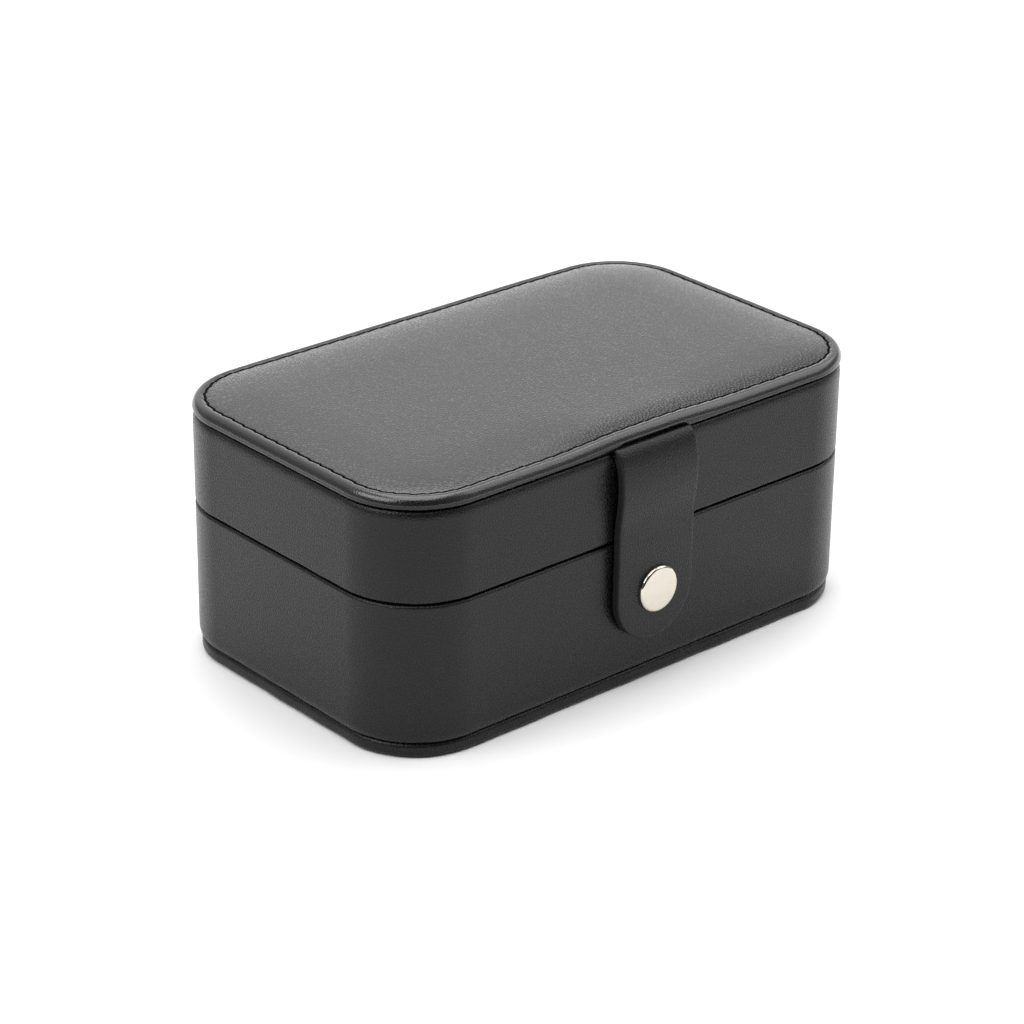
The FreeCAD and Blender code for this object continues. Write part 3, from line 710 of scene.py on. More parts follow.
class JEWELBOX_OT_finishes(bpy.types.Operator):
    """Makes every finish and puts one on each CAD node that stays in view"""

    bl_idname = "jewelbox.finishes"
    bl_label = "Finishes"

    def execute(self, context):
        colours = settings().finish
        pebble_grain_group()
        velvet_nap_group()
        leather_material("Pebbled leather", 0.03 * MM, 0.23, colours.wall_gloss)
        leather_material("Padded leather", 0.04 * MM, 0.17, colours.top_gloss, stitched=True)
        # painted shade: a copy of the padded leather that reflects less, for the rim's foot
        leather_material("Rim foot", 0.04 * MM, 0.17, FOOT_SHADE_GLOSS * colours.top_gloss, stitched=True)
        leather_material("Strap leather", 0.036 * MM, 0.26, colours.wall_gloss)
        velvet_material("Velvet", colours.velvet, settings().lining.nap)
        metal_material("Plated metal", colours.metal, 0.06)
        metal_material("Spring wire", (0.55, 0.55, 0.57), 0.3)
        mirror_material("Mirror")
        fibre_material("Raw board", colours.board, 900.0, 0.75)
        fibre_material("Cord", (0.6, 0.57, 0.5), 1500.0, 0.8)
        fibre_material("Foam", (0.62, 0.6, 0.55), 2500.0, 0.85)
        fibre_material("Thread", colours.thread, 5000.0, 0.8)
        # painted shade: near-black leather laid in the crease that the stitches draw
        fibre_material("Stitch crease", grown(colours.leather, 0.2)[:3], 5000.0, 0.8, gloss=0.03)
        # edge paint, made lighter than the leather so that the strap's edge shows a painted highlight
        fibre_material("Edge paint", grown(colours.leather, 2.2)[:3], 2600.0, 0.5)
        for name, nodes in CAD_FINISHES.items():
            for node in nodes:
                slots = frame["nodes"][node].data.materials
                slots.clear()
                slots.append(finish(name))
        return {"FINISHED"}


# Leather shell


def wall_profile(open_edge, glued_edge):
    """Closed profile of (inset, height): leather round the open edge, up the wall and over the top.

    The open edge is a quarter circle, a little tighter than the glued edge, which is a quarter ellipse.
    Behind the open edge the leather is turned in.
    """
    shell = settings().shell
    up = 1 if glued_edge > open_edge else -1
    r, t, depth, tall = shell.edge_radius, shell.leather, shell.board_depth, shell.edge_height
    hem = depth + 0.8 * MM
    soft = 0.3 * MM
    seam = 0.8 * r
    open_centre = (seam, open_edge + up * seam)
    turned = open_edge + up * shell.turn_in
    quarter = np.radians(np.linspace(0, 90, 12))
    bend = np.stack((r * (1 - np.cos(quarter)), glued_edge - up * tall * (1 - np.sin(quarter))), axis=-1)
    return np.concatenate(
        (
            line((hem, turned), (hem, open_edge + up * soft), 6),
            line((hem - soft, open_edge), (seam + 0.4 * MM, open_edge), 4),
            arc(open_centre, seam, 180 + 90 * up, 180, 10),
            line((0, open_edge + up * (seam + 0.5 * MM)), (0, glued_edge - up * (tall + soft)), 22),
            bend,
            line((depth, glued_edge), (depth, glued_edge - up * t), 2),
            line((r + t, glued_edge - up * t), (t, glued_edge - up * tall), 2),
            line((t, open_edge + up * 2 * t), (2 * t, open_edge + up * t), 2),
            line((hem - t, open_edge + up * t), (hem - t, turned), 3),
        )
    )


# How far beside the strap and how far down the leather under it gives way, and the room left under it
PRESSED_SIDE = 1.0 * MM
PRESSED_DEPTH = 2 * MM
STRAP_ROOM = 0.3 * MM


def wall_band(name, node, body, open_edge, glued_edge, seed, slot_drop=0.0):
    """A leather wall: its profile round the outline, a little wavy, and pressed down under the strap."""
    shell = settings().shell
    outline = shell_outline(721, closing=True)
    profile = wall_profile(open_edge, glued_edge)
    inset, height = profile[None, :, 0], profile[None, :, 1]
    s, p = outline.s[:, None], outline.perimeter
    rise = (height - min(open_edge, glued_edge)) / abs(glued_edge - open_edge)
    bulge = waves(s + 0.05 * rise, [p / 5, p / 9, p / 14], seed) * np.sin(np.pi * np.clip(rise, 0, 1))
    edge_wave = 0.5 * waves(s, [p / 17, p / 31, p / 45], seed + 1)
    inset = inset - np.where(inset < shell.edge_radius, 0.35 * shell.waviness * (bulge + 0.4), 0)
    height = height + shell.waviness * edge_wave * np.abs(2 * rise - 1)
    if slot_drop:
        pressed = 1 - smooth_step(np.minimum(s, p - s), strap_half(), strap_half() + PRESSED_SIDE)
        height = height - slot_drop * pressed * (height > glued_edge - PRESSED_DEPTH)
    points = outline.sweep(np.maximum(inset, 0.0), height)
    flat = np.stack(np.broadcast_arrays(s, path_lengths(profile)[None, :]), axis=-1)
    piece = ring_piece(name, points, finish("Pebbled leather"), maps={"Flat": flat})
    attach(piece, body)
    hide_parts(node)


class JEWELBOX_OT_walls(bpy.types.Operator):
    """Wraps the base's and the lid's walls in leather"""

    bl_idname = "jewelbox.walls"
    bl_label = "Leather walls"

    def execute(self, context):
        low, high = node_box("base_wall_cover")
        wall_band("base_wall_leather", "base_wall_cover", "base", high[2], low[2], 11)
        low, high = node_box("lid_wall_cover")
        drop = high[2] - node_box("strap_tongue")[0][2] + STRAP_ROOM
        wall_band("lid_wall_leather", "lid_wall_cover", "lid", low[2], high[2], 23, slot_drop=drop)
        return {"FINISHED"}


# How far the base panel's edge strays from even
PANEL_STRAY = 0.12 * MM


class JEWELBOX_OT_base_panel(bpy.types.Operator):
    """Wraps the base panel in leather: a rounded edge, turned in on top and flat underneath"""

    bl_idname = "jewelbox.base_panel"
    bl_label = "Base panel"

    def execute(self, context):
        low, high = node_box("base_bottom_cover")
        bottom, top = low[2], high[2]
        outline = shell_outline(641, closing=True)
        p = outline.perimeter
        inset = node_box("base_wall_cover")[1][0] - high[0]
        r, t = settings().shell.panel_edge, settings().shell.leather
        rounded, turned = inset + r, inset + settings().top.panel_turn_in
        profile = np.concatenate(
            (
                line((turned, top), (rounded + 0.5 * MM, top), 3),
                arc((rounded, top - r), r, 90, 180, 9),
                arc((rounded, bottom + r), r, 180, 270, 9),
                line((rounded + 0.5 * MM, bottom), (turned, bottom), 3),
            )
        )
        stray = PANEL_STRAY * (1 + waves(outline.s, [p / 13, p / 29], 31)[:, None])
        rim = outline.sweep(profile[:, 0] + stray * (profile[:, 0] < rounded), profile[:, 1])
        flat = outline.to_middle(turned, [0.5, 0.0])
        under, over = at_height(flat, bottom), at_height(flat[:, ::-1], bottom + t)
        inside = outline.sweep([turned, rounded, rounded, turned], [bottom + t, bottom + t, top - t, top - t])
        points = np.concatenate((rim, under, over, inside), axis=1)
        gap = rim.shape[1] + under.shape[1] - 1
        rolled_out = np.concatenate((outline.unrolled(profile), points[:, rim.shape[1]:, :2]), axis=1)
        maps = {"Flat": rolled_out}
        piece = ring_piece("base_panel_leather", points, finish("Pebbled leather"), gap, maps)
        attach(piece, "base")
        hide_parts("base_bottom_cover")
        return {"FINISHED"}


# Padded top

# How far the stitch line and the rim stray from even
LINE_STRAY = 0.09 * MM
RIM_STRAY = 0.08 * MM
# How far across the leather these and the marks of the stitches and the strap reach
LINE_REACH = 1.2 * MM
RIM_REACH = 6 * MM
NOTCH_REACH = 0.24 * MM
PUCKER_REACH = 2.4 * MM
CRIMP_REACH = 0.9 * MM
LIFT_REACH = 13 * MM
# Shares of the strap's half width between which the rim's lift and its foot's run out, and the foot's growth
LIFT_FADE = (0.55, 2.4)
FOOT_FADE = (0.75, 1.05)
FOOT_GROWTH = 1.3
# Angles, in degrees, at which the rim's three arcs begin, and the last one ends
RIM_TURNS = np.array((270.0, 168.0, 140.0, 90.0))


class TopForm:
    """The padded top over an outline: its profile, and the line of its stitches."""

    def __init__(self, outline):
        top = settings().top
        low, high = node_box("lid_top_cover")
        self.top, self.outline = top, outline
        self.bottom, self.crown = low[2] + top.foot_lift, high[2] - top.crown_drop
        self.arcs = self.rim_arcs()
        self.flat, self.crest = self.arcs[-1][0] + np.array((0, top.rim_radius))
        self.seat = self.crest - top.rim_fall
        self.count = int(round((outline.perimeter - 2 * np.pi * top.stitch_inset) / top.stitch_pitch))

    def rim_arcs(self):
        """Arcs of the rolled rim from its foot to its crest, each as (centre, radius, start, end).

        Each centre lies on the line through the last one and the point where the two arcs meet.
        """
        top = self.top
        radii = (top.rim_foot, top.rim_face, top.rim_radius)
        way = np.stack((np.cos(np.radians(RIM_TURNS)), np.sin(np.radians(RIM_TURNS))), axis=-1)
        centre = np.array((top.rim_foot - top.rim_bulge, self.bottom + top.rim_foot))
        arcs = [(centre, radii[0], RIM_TURNS[0], RIM_TURNS[1])]
        for i in (1, 2):
            centre = centre + (radii[i - 1] - radii[i]) * way[i]
            arcs.append((centre, radii[i], RIM_TURNS[i], RIM_TURNS[i + 1]))
        return arcs

    def level(self, inset):
        """Height over an inset: a rim that rolls down a little to the stitches, then the pad.

        The pad rises by a short shoulder and a long swell, each 1 - exp(-distance / reach).
        """
        top = self.top
        fall = np.clip((inset - self.flat) / (top.stitch_inset - self.flat), 0, 1)
        away = np.clip(inset - top.stitch_inset, 0, None)
        run = top.crown_inset - top.stitch_inset
        shoulder = 1 - np.exp(-away / top.shoulder_reach)
        swell = (1 - np.exp(-away / top.swell_reach)) / (1 - np.exp(-run / top.swell_reach))
        rise = top.shoulder_rise * shoulder + (self.crown - self.seat - top.shoulder_rise) * swell
        return self.crest - top.rim_fall * fall ** 2 + rise

    def roll(self, shrink, count):
        """Rim from the turned-in edge half round the roll, as (inset, height). Each arc has count points."""
        top = self.top
        under = self.bottom + shrink
        tucked = line((top.panel_turn_in, under), (top.rim_foot + 0.4 * MM, under), 3)
        rolled = [
            arc(centre, radius - shrink, start, end, count)[first:]
            for first, (centre, radius, start, end) in zip((0, 1, 1), self.arcs)
        ]
        return np.concatenate((tucked, *rolled))

    def phase(self, s):
        """Stitches passed along the outline, with a hole at each whole number."""
        return s / self.outline.perimeter * self.count

    def stitch_line(self, s):
        """Inset of the stitches: each leans across the line, and the line strays a little."""
        top, p = self.top, self.outline.perimeter
        share = np.mod(self.phase(s), 1.0)
        lean = share - 0.5 - smooth_step(share, 0.9, 1.0)
        stray = LINE_STRAY * waves(s, [p / 19, p / 37, p / 53], 3)
        return top.stitch_inset + stray + top.stitch_slant * lean

    def lift(self, s, inset, upper):
        """How far the strap under the rim lifts it, fading sideways and inwards, its foot more steeply."""
        along = np.minimum(s, self.outline.perimeter - s) / strap_half()
        upper_lift = 1 - smooth_step(along, *LIFT_FADE)
        foot_lift = FOOT_GROWTH * (1 - smooth_step(along, *FOOT_FADE))
        return self.top.strap_lift * np.where(upper, upper_lift, foot_lift) * bell(inset, LIFT_REACH)

    def shape(self, s, inset, height):
        """Insets and heights with the stitches drawn in, puckers beside them, and the rim's unevenness."""
        top, p = self.top, self.outline.perimeter
        hole = 0.5 + 0.5 * np.cos(2 * np.pi * self.phase(s))
        uneven = waves(s, [p / 67, p / 101, p / 173, p / 211], 5)
        off = inset - top.stitch_inset
        drawn = top.notch * bell(off, NOTCH_REACH) * (0.65 + 0.35 * hole)
        inside = np.clip(off, 0, None)
        fade = smooth_step(inside, 0.1 * MM, 0.9 * MM) * np.exp(-inside / PUCKER_REACH)
        pleats = top.pucker * fade * (0.6 * (hole - 0.5) + 0.8 * uneven)
        outside = np.clip(-off, 0, None)
        crimp = 0.5 * top.pucker * np.exp(-outside / CRIMP_REACH) * (hole - 0.5) * (outside > 0)
        slow = RIM_STRAY * waves(s, [p / 3, p / 7, p / 11], 9) * np.exp(-inset / RIM_REACH)
        upper = height > self.bottom + 0.5 * top.rim_radius
        moved = inset + (self.stitch_line(s) - top.stitch_inset) * bell(off, LINE_REACH) * upper
        change = (slow - drawn - pleats - crimp) * upper + self.lift(s, inset, upper)
        return moved, height + change


# Distances from the stitches of the points in and beside their crease
CREASE_HALF = np.array([0.08, 0.16, 0.24, 0.34, 0.5, 0.75]) * MM
CREASE = np.concatenate((-CREASE_HALF[::-1], [0.0], CREASE_HALF))
# The columns of the crease that take the near-black painted shade, counted from its first
SHADED_CREASE = (2, 10)
ROLL_POINTS = 8
# How much deeper the leather's inner face lies, to stay clear of the crease, and the foam's gap under it
CREASE_ROOM = 0.3 * MM
FOAM_GAP = 0.35 * MM
# How far in from the stitches the foam starts, and how thick it is there at least
FOAM_START = 1.2 * MM
FOAM_EDGE = 0.1 * MM


class JEWELBOX_OT_padded_top(bpy.types.Operator):
    """Makes the padded top: a leather skin with a rolled rim, a stitched valley and a crown"""

    bl_idname = "jewelbox.padded_top"
    bl_label = "Padded top"

    def execute(self, context):
        outline = shell_outline(1041, closing=True)
        form = TopForm(outline)
        top, t = settings().top, settings().shell.leather
        crease = top.stitch_inset + CREASE
        rim = np.linspace(form.flat, crease[0], 5)[1:-1]
        pad = crease[-1] + (top.crown_inset - crease[-1]) * np.linspace(0, 1, 21)[1:] ** 1.6
        across = np.concatenate((rim, crease, pad))
        rolled = form.roll(0.0, ROLL_POINTS)
        profile = np.concatenate((rolled, np.stack((across, form.level(across)), axis=-1)))
        s = outline.s[:, None]
        outside = outline.sweep(*form.shape(s, profile[None, :, 0], profile[None, :, 1]))
        over = at_height(outline.to_middle(top.crown_inset, [0.8, 0.55, 0.3, 0.0]), form.crown)
        under = over[:, ::-1] - np.array([0, 0, t])
        below = np.linspace(form.flat, top.crown_inset, 9)[1:]
        inner = np.stack((below, form.level(below) - t - CREASE_ROOM), axis=-1)[::-1]
        inner = np.concatenate((inner, form.roll(t, 4)[::-1]))
        inside = outline.sweep(inner[:, 0], inner[:, 1])
        points = np.concatenate((outside, over, under, inside), axis=1)
        gap = outside.shape[1] + over.shape[1] - 1
        hidden = np.full(points.shape[1] - len(profile), 2 * top.crown_inset)
        insets = np.concatenate((profile[:, 0], hidden))[None, :]
        maps = {
            "Flat": np.concatenate((outline.unrolled(profile), points[:, len(profile):, :2]), axis=1),
            "Along": np.stack(np.broadcast_arrays(s, insets), axis=-1),
        }
        foot = len(rolled) - 2 * (ROLL_POINTS - 1) - 1
        first = len(rolled) + len(rim)
        bands = (
            # painted shade on the rim's foot beside the groove
            (finish("Rim foot"), 0, foot),
            # painted shade in the stitches' crease
            (finish("Stitch crease"), first + SHADED_CREASE[0], first + SHADED_CREASE[1]),
        )
        piece = ring_piece("lid_top_leather", points, finish("Padded leather"), gap, maps, bands)
        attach(piece, "lid")
        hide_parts("lid_top_cover")
        self.add_foam(form, outline)
        return {"FINISHED"}

    def add_foam(self, form, outline):
        """Fills the space under the leather: a level underside, and a top that follows the leather's."""
        top = settings().top
        across = np.linspace(top.stitch_inset + FOAM_START, top.crown_inset, 12)
        height = form.level(across) - settings().shell.leather - FOAM_GAP
        floor = node_box("lid_top_pad")[0][2]
        side = outline.sweep(across, np.maximum(height, floor + FOAM_EDGE))
        over = at_height(outline.to_middle(top.crown_inset, [0.6, 0.0]), height[-1])
        under = np.concatenate((over, side[:, ::-1]), axis=1)[:, 1:]
        under[..., 2] = floor
        points = np.concatenate((side, over, under), axis=1)
        foam = ring_piece("lid_top_foam", points[:-1], finish("Foam"), side.shape[1] + over.shape[1] - 1)
        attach(foam, "lid")
        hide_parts("lid_top_pad")


# Shares of the pitch between which a stitch's thread shows
THREAD_ENDS = (0.03, 0.93)


class JEWELBOX_OT_stitching(bpy.types.Operator):
    """Lays the thread in the valley: one stitch between each two holes, dipping in at its ends"""

    bl_idname = "jewelbox.stitching"
    bl_label = "Stitching"

    def execute(self, context):
        form = TopForm(shell_outline(2))
        radius, sides, rings, steps = settings().top.thread_radius, 8, 7, 40
        share = np.linspace(*THREAD_ENDS, rings)
        number = np.arange(form.count)[:, None]
        fine = shell_outline(form.count * steps)
        index = np.round((number + share[None, :]) * steps).astype(int) % (form.count * steps)
        s, normal = fine.s[index], fine.normal[index]
        inset = form.stitch_line(s)
        flat = fine.core[index] + normal * (fine.radius - inset)[..., None]
        ends = np.sqrt(np.sin(np.pi * (share - share[0]) / (share[-1] - share[0])))[None, :]
        ground = form.seat + form.lift(s, inset, True) - 0.6 * settings().top.notch
        height = ground + radius * (0.8 * ends - 0.3)
        thick = (radius * (0.55 + 0.45 * ends) * np.ones_like(s))[..., None]
        angle = np.linspace(0, 2 * np.pi, sides, endpoint=False)
        ring = flat[:, :, None] + normal[:, :, None] * (thick * np.cos(angle))[..., None]
        points = at_height(ring, height[..., None] + thick * np.sin(angle) * 0.85)
        first = number[..., None] * rings * sides
        tubes = grid_faces(rings, sides, False, True) + first
        caps = np.stack((np.arange(sides)[::-1], np.arange(sides) + (rings - 1) * sides)) + first
        faces = tubes.reshape(-1, 4).tolist() + caps.reshape(-1, sides).tolist()
        piece = mesh_piece("top_stitching", points, faces, finish("Thread"), merge=1e-8)
        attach(piece, "lid")
        return {"FINISHED"}


# Strap and snap

# Length in the slot over which the strap begins to lift
SLOT_RUN = 6 * MM
# Length past the slot over which it thickens, and the lengths between which it comes to hang free
THICKENING = 2.5 * MM
HANGING = (4 * MM, 12 * MM)
# How far its face swells at the middle, and how far it strays from flat
PILLOW = 0.12 * MM
STRAP_STRAY = 0.06 * MM
# Room for the snap's socket beside it and at its end
BORE_SIDE = 0.06 * MM
BORE_END = 0.1 * MM


class StrapLine:
    """The strap's middle line seen from the side, by length from the end of its glued tongue.

    It runs level in the slot, lifts as it leaves it, bends down over a quarter of a tall ellipse, sways
    in through two equal arcs to its stand-off, and hangs straight. At each length it gives a place out
    and up, and a normal.
    """

    def __init__(self):
        strap, self.leather = settings().strap, settings().shell.leather
        face_low, face_high = node_box("strap_face")
        tongue_low, tongue_high = node_box("strap_tongue")
        self.front = node_box("base_wall_cover")[0][1]
        bulge = self.front - face_low[1]
        reach = bulge - self.leather / 2
        sway = bulge - strap.thickness - strap.standoff
        hang = reach - sway
        self.level = (tongue_low[2] + tongue_high[2]) / 2
        bend_z = self.level - strap.bend_height
        hang_z = bend_z - strap.settle_height
        turn = 2 * math.degrees(math.atan2(sway, strap.settle_height))
        sway_radius = strap.settle_height / (2 * math.sin(math.radians(turn)))
        root = self.front - tongue_high[1]
        level = line((root, self.level), (0, self.level), 40)
        level[:, 1] += strap.slot_rise * smooth_step(level[:, 0], -SLOT_RUN, 0)
        bend = np.radians(np.linspace(0, 90, 40))[1:]
        drop = (strap.bend_height + strap.slot_rise) * np.cos(bend)
        pieces = (
            level,
            np.stack((reach * np.sin(bend), bend_z + drop), axis=-1),
            arc((reach - sway_radius, bend_z), sway_radius, 0, -turn, 20)[1:],
            arc((hang + sway_radius, hang_z), sway_radius, 180 - turn, 180, 20)[1:],
            line((hang, hang_z), (hang, face_low[2]), 40)[1:],
        )
        self.points = np.concatenate(pieces)
        self.lengths = path_lengths(self.points)
        tangent = np.gradient(self.points, self.lengths, axis=0)
        self.normals = np.stack((-tangent[:, 1], tangent[:, 0]), axis=-1)
        self.root_length = abs(root)
        self.half_width = face_high[0] + strap.widening
        self.shift, self.thickness = strap.shift, strap.thickness

    def place(self, x, length, out):
        """Points at (x, length along the strap, distance out of the leather's middle)."""
        at = [np.interp(length, self.lengths, self.points[:, k]) for k in (0, 1)]
        normal = [np.interp(length, self.lengths, self.normals[:, k]) for k in (0, 1)]
        size = np.hypot(*normal)
        y = self.front - (at[0] + out * normal[0] / size)
        z = at[1] + out * normal[1] / size
        return np.stack(np.broadcast_arrays(x - self.shift, y, z), axis=-1)

    def outline(self, count):
        """The strap's flat outline from its root to its round end, and the middle line beside it."""
        w, end = self.half_width, self.lengths[-1] - self.half_width
        stops = np.cumsum([0, w, end, np.pi * w, end, w])
        s = np.arange(count) * stops[-1] / count
        turn = np.interp(s, stops, [0, 0, 0, np.pi, np.pi, np.pi])
        on_end = (s >= stops[2]) & (s <= stops[3])
        x = np.where(on_end, w * np.cos(turn), np.interp(s, stops, [0, w, w, -w, -w, 0]))
        length = np.where(on_end, end + w * np.sin(turn), np.interp(s, stops, [0, 0, end, end, 0, 0]))
        return x, length, np.clip(length, w, end)


def cut_hole(piece, profile, centre):
    """Cuts a turned hole about an axis along Y out of a closed piece."""
    cutter = grid_piece("cutter", lathe(profile, centre, 64), piece.data.materials[0])
    change = piece.modifiers.new("Hole", "BOOLEAN")
    change.operation, change.solver, change.object = "DIFFERENCE", "EXACT", cutter
    result = piece.evaluated_get(bpy.context.evaluated_depsgraph_get())
    mesh = bpy.data.meshes.new_from_object(result)
    piece.modifiers.clear()
    plain, piece.data = piece.data, mesh
    mesh.name = piece.name
    bpy.data.meshes.remove(plain)
    bpy.data.meshes.remove(cutter.data)


class JEWELBOX_OT_strap(bpy.types.Operator):
    """Makes the strap: leather from under the rim, bent down and thickened over its stiffener"""

    bl_idname = "jewelbox.strap"
    bl_label = "Strap"

    def execute(self, context):
        run = StrapLine()
        edge, root = settings().strap.edge_round, run.root_length
        x, length, middle = run.outline(420)
        turn = np.radians(np.linspace(0, 90, 6))
        reach = np.hypot(x, length - middle)[:, None]
        rounded = 1 - edge * (1 - np.sin(turn)) / np.maximum(reach, edge * 1.01)
        level = np.broadcast_to(np.linspace(0, 1, 16)[:-1] * 0.95, (len(x), 15))
        shares = np.concatenate((level, rounded, rounded[:, ::-1], level[:, ::-1]), axis=1)
        half = np.concatenate((np.ones(level.shape[1]), np.cos(turn)))
        lift = np.concatenate((half, half[::-1]))
        face = np.repeat((1.0, 0.0), len(half))
        grid_x = x[:, None] * shares
        grid_length = middle[:, None] + (length - middle)[:, None] * shares
        thin = run.leather / 2
        grown_in = smooth_step(grid_length, root, root + THICKENING)
        back = thin + (run.thickness - run.leather) * grown_in
        out = np.where(face > 0, thin - edge * (1 - lift), np.minimum(edge, back) * (1 - lift) - back)
        hangs = smooth_step(grid_length, root + HANGING[0], root + HANGING[1])
        pillow = PILLOW * (1 - shares ** 2) * face
        wave = STRAP_STRAY * waves(grid_length, [17 * MM, 29 * MM], 41)
        points = run.place(grid_x, grid_length, out + (pillow + wave) * hangs)
        flat = np.stack((grid_x + np.sign(x)[:, None] * (thin - out), grid_length), axis=-1)
        # the strap's edge paint, made lighter as a painted highlight
        painted = (finish("Edge paint"), level.shape[1] + 2, level.shape[1] + 9)
        leather = finish("Strap leather")
        piece = grid_piece("snap_strap", points, leather, merge=1e-6, maps={"Flat": flat}, bands=(painted,))
        low, high = node_box("snap_socket")
        deep, radius = high[1] - low[1] + BORE_END, (high[0] - low[0]) / 2 + BORE_SIDE
        bore = np.array([(-1 * MM, 0), (-1 * MM, radius), (deep, radius), (deep, 0)])
        cut_hole(piece, bore, (0.0, high[1], (low[2] + high[2]) / 2))
        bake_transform(piece)
        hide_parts("strap_face", "strap_stiffener", "strap_backing", "strap_tongue")
        return {"FINISHED"}


class JEWELBOX_OT_snap(bpy.types.Operator):
    """Turns the snap's polished cap: a flat face, a bevelled edge and a post"""

    bl_idname = "jewelbox.snap"
    bl_label = "Snap cap"

    def execute(self, context):
        strap = settings().strap
        low, high = node_box("snap_cap")
        centre = ((low[0] + high[0]) / 2, high[1], (low[2] + high[2]) / 2)
        radius, depth = (high[0] - low[0]) / 2, high[1] - low[1]
        bevel, post, dish = strap.cap_bevel, 1.6 * MM, 0.04 * MM
        strap_face = strap.standoff + strap.thickness
        back = strap_face - (node_box("base_wall_cover")[0][1] - high[1]) + 0.05 * MM
        profile = np.concatenate(
            (
                [(0, 0), (0, post), (back, post), (back, radius - 0.35 * MM), (back, radius)],
                [(back + 0.2 * MM, radius)],
                arc((depth - bevel, radius - bevel), bevel, 90, 12, 9),
                line((depth - dish, radius - 1.5 * bevel), (depth - dish * 0.5, 0.4 * radius), 4),
                [(depth - dish * 0.3, 0.15 * radius), (depth - dish * 0.3, 0)],
            )
        )
        piece = grid_piece("snap_cap_polished", lathe(profile, centre, 96), finish("Plated metal"))
        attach(piece, "strap")
        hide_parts("snap_cap")
        return {"FINISHED"}


# Hinge

# Depth of the crease along the hinge's seam, and how far it reaches
SEAM_DEPTH = 0.4 * MM
SEAM_REACH = 0.5 * MM


def soft_sheet(name, low, high, edge, counts, material, seam=None):
    """A thin sheet with rounded edges between two corners, in X and Z, creased at a seam's height if asked.

    Each point of a grid over the sheet gets half the thickness times a quarter round near the edges.
    """
    size, middle = (high - low) / 2, (high + low) / 2
    u, v = (np.sign(w) * np.abs(w) ** 0.8 for w in (np.linspace(-1, 1, count) for count in counts))
    x, z = np.meshgrid(middle[0] + size[0] * u, middle[2] + size[2] * v, indexing="ij")
    from_edge = np.minimum(size[0] - np.abs(x - middle[0]), size[2] - np.abs(z - middle[2]))
    half = size[1] * np.sqrt(1 - (1 - np.clip(from_edge / edge, 0, 1)) ** 2)
    crease = 0.0 if seam is None else SEAM_DEPTH * bell(z - seam, SEAM_REACH)
    front = np.stack((x, middle[1] + half - crease, z), axis=-1)
    back = np.stack((x, middle[1] - half, z), axis=-1)
    points = np.concatenate((front, back[:, ::-1]), axis=1)
    return grid_piece(name, points, material, (False, True), maps={"Flat": points[..., ::2]})


class JEWELBOX_OT_hinge(bpy.types.Operator):
    """Lays the leather hinge strip across the back seam and the stretch lining inside it"""

    bl_idname = "jewelbox.hinge"
    bl_label = "Leather hinge"

    def execute(self, context):
        low, high = node_box("hinge_strip")
        joint = next(j for j in frame["joints"] if j["name"] == "lid_hinge")
        seam, bend = joint["pos_m"][2], 2.2 * MM
        strip = soft_sheet("hinge_leather", low, high, 0.6 * MM, (60, 80), finish("Pebbled leather"), seam)
        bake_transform(strip)
        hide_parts("hinge_strip")
        low, high = node_box("hinge_lining")
        lining = soft_sheet("hinge_velvet", low, high, 0.4 * MM, (40, 60), finish("Velvet"))
        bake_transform(lining)
        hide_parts("hinge_lining")
        return {"FINISHED"}


# Lining


def tray_end(y):
    """How far left the tray's inside reaches at each y: a straight side with a quarter circle at each end."""
    left = node_box("ring_roll_1")[0][0]
    shell = node_box("base_wall_cover")[1]
    inset = shell[0] + left
    radius = settings().shell.corner_radius - inset
    past = np.clip(np.abs(y) - (shell[1] - inset - radius), 0, radius)
    return left + radius - np.sqrt(radius ** 2 - past ** 2)


def ring_roll(node):
    """A stuffed roll along Y: a half-round top on upright sides, swelling a little at its middle.

    Its ends are drawn in, and the tray's rounded corners press the end roll in.
    """
    low, high = node_box(node)
    crown = settings().lining.roll_crown
    size, middle = (high - low) / 2, (high + low) / 2
    half, spring, foot = size[0], high[2] - size[0], low[2] + 0.4 * MM
    profile = np.concatenate(
        (
            line((half, foot), (half, spring), 5),
            arc((0, spring), half, 0, 180, 21)[1:],
            line((-half, spring), (-half, foot), 5)[1:],
            line((-half + 0.6 * MM, low[2]), (half - 0.6 * MM, low[2]), 3),
        )
    )
    v = np.linspace(-1, 1, 41)[:, None]
    along = np.sign(v) * (1 - (1 - np.abs(v)) ** 1.5)
    swell = np.cos(np.pi * along / 2)
    ends = np.sqrt(np.clip(1 - np.clip((np.abs(along) - 0.9) / 0.1, 0, 1) ** 2.2, 0, 1))
    x = middle[0] + profile[:, 0] * (0.96 * ends + 0.02 * swell) * 0.99
    rise = profile[:, 1] - low[2]
    z = low[2] + rise * (0.25 + 0.75 * ends) + 0.5 * crown * swell * (rise > half)
    z = np.minimum(z, high[2] + crown)
    y = np.broadcast_to(middle[1] + size[1] * along, x.shape)
    points = np.stack((np.maximum(x, tray_end(y)), y, z), axis=-1)
    name = node.replace("ring_roll", "velvet_roll")
    piece = grid_piece(name, points, finish("Velvet"), (False, True))
    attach(piece, "tray")
    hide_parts(node)


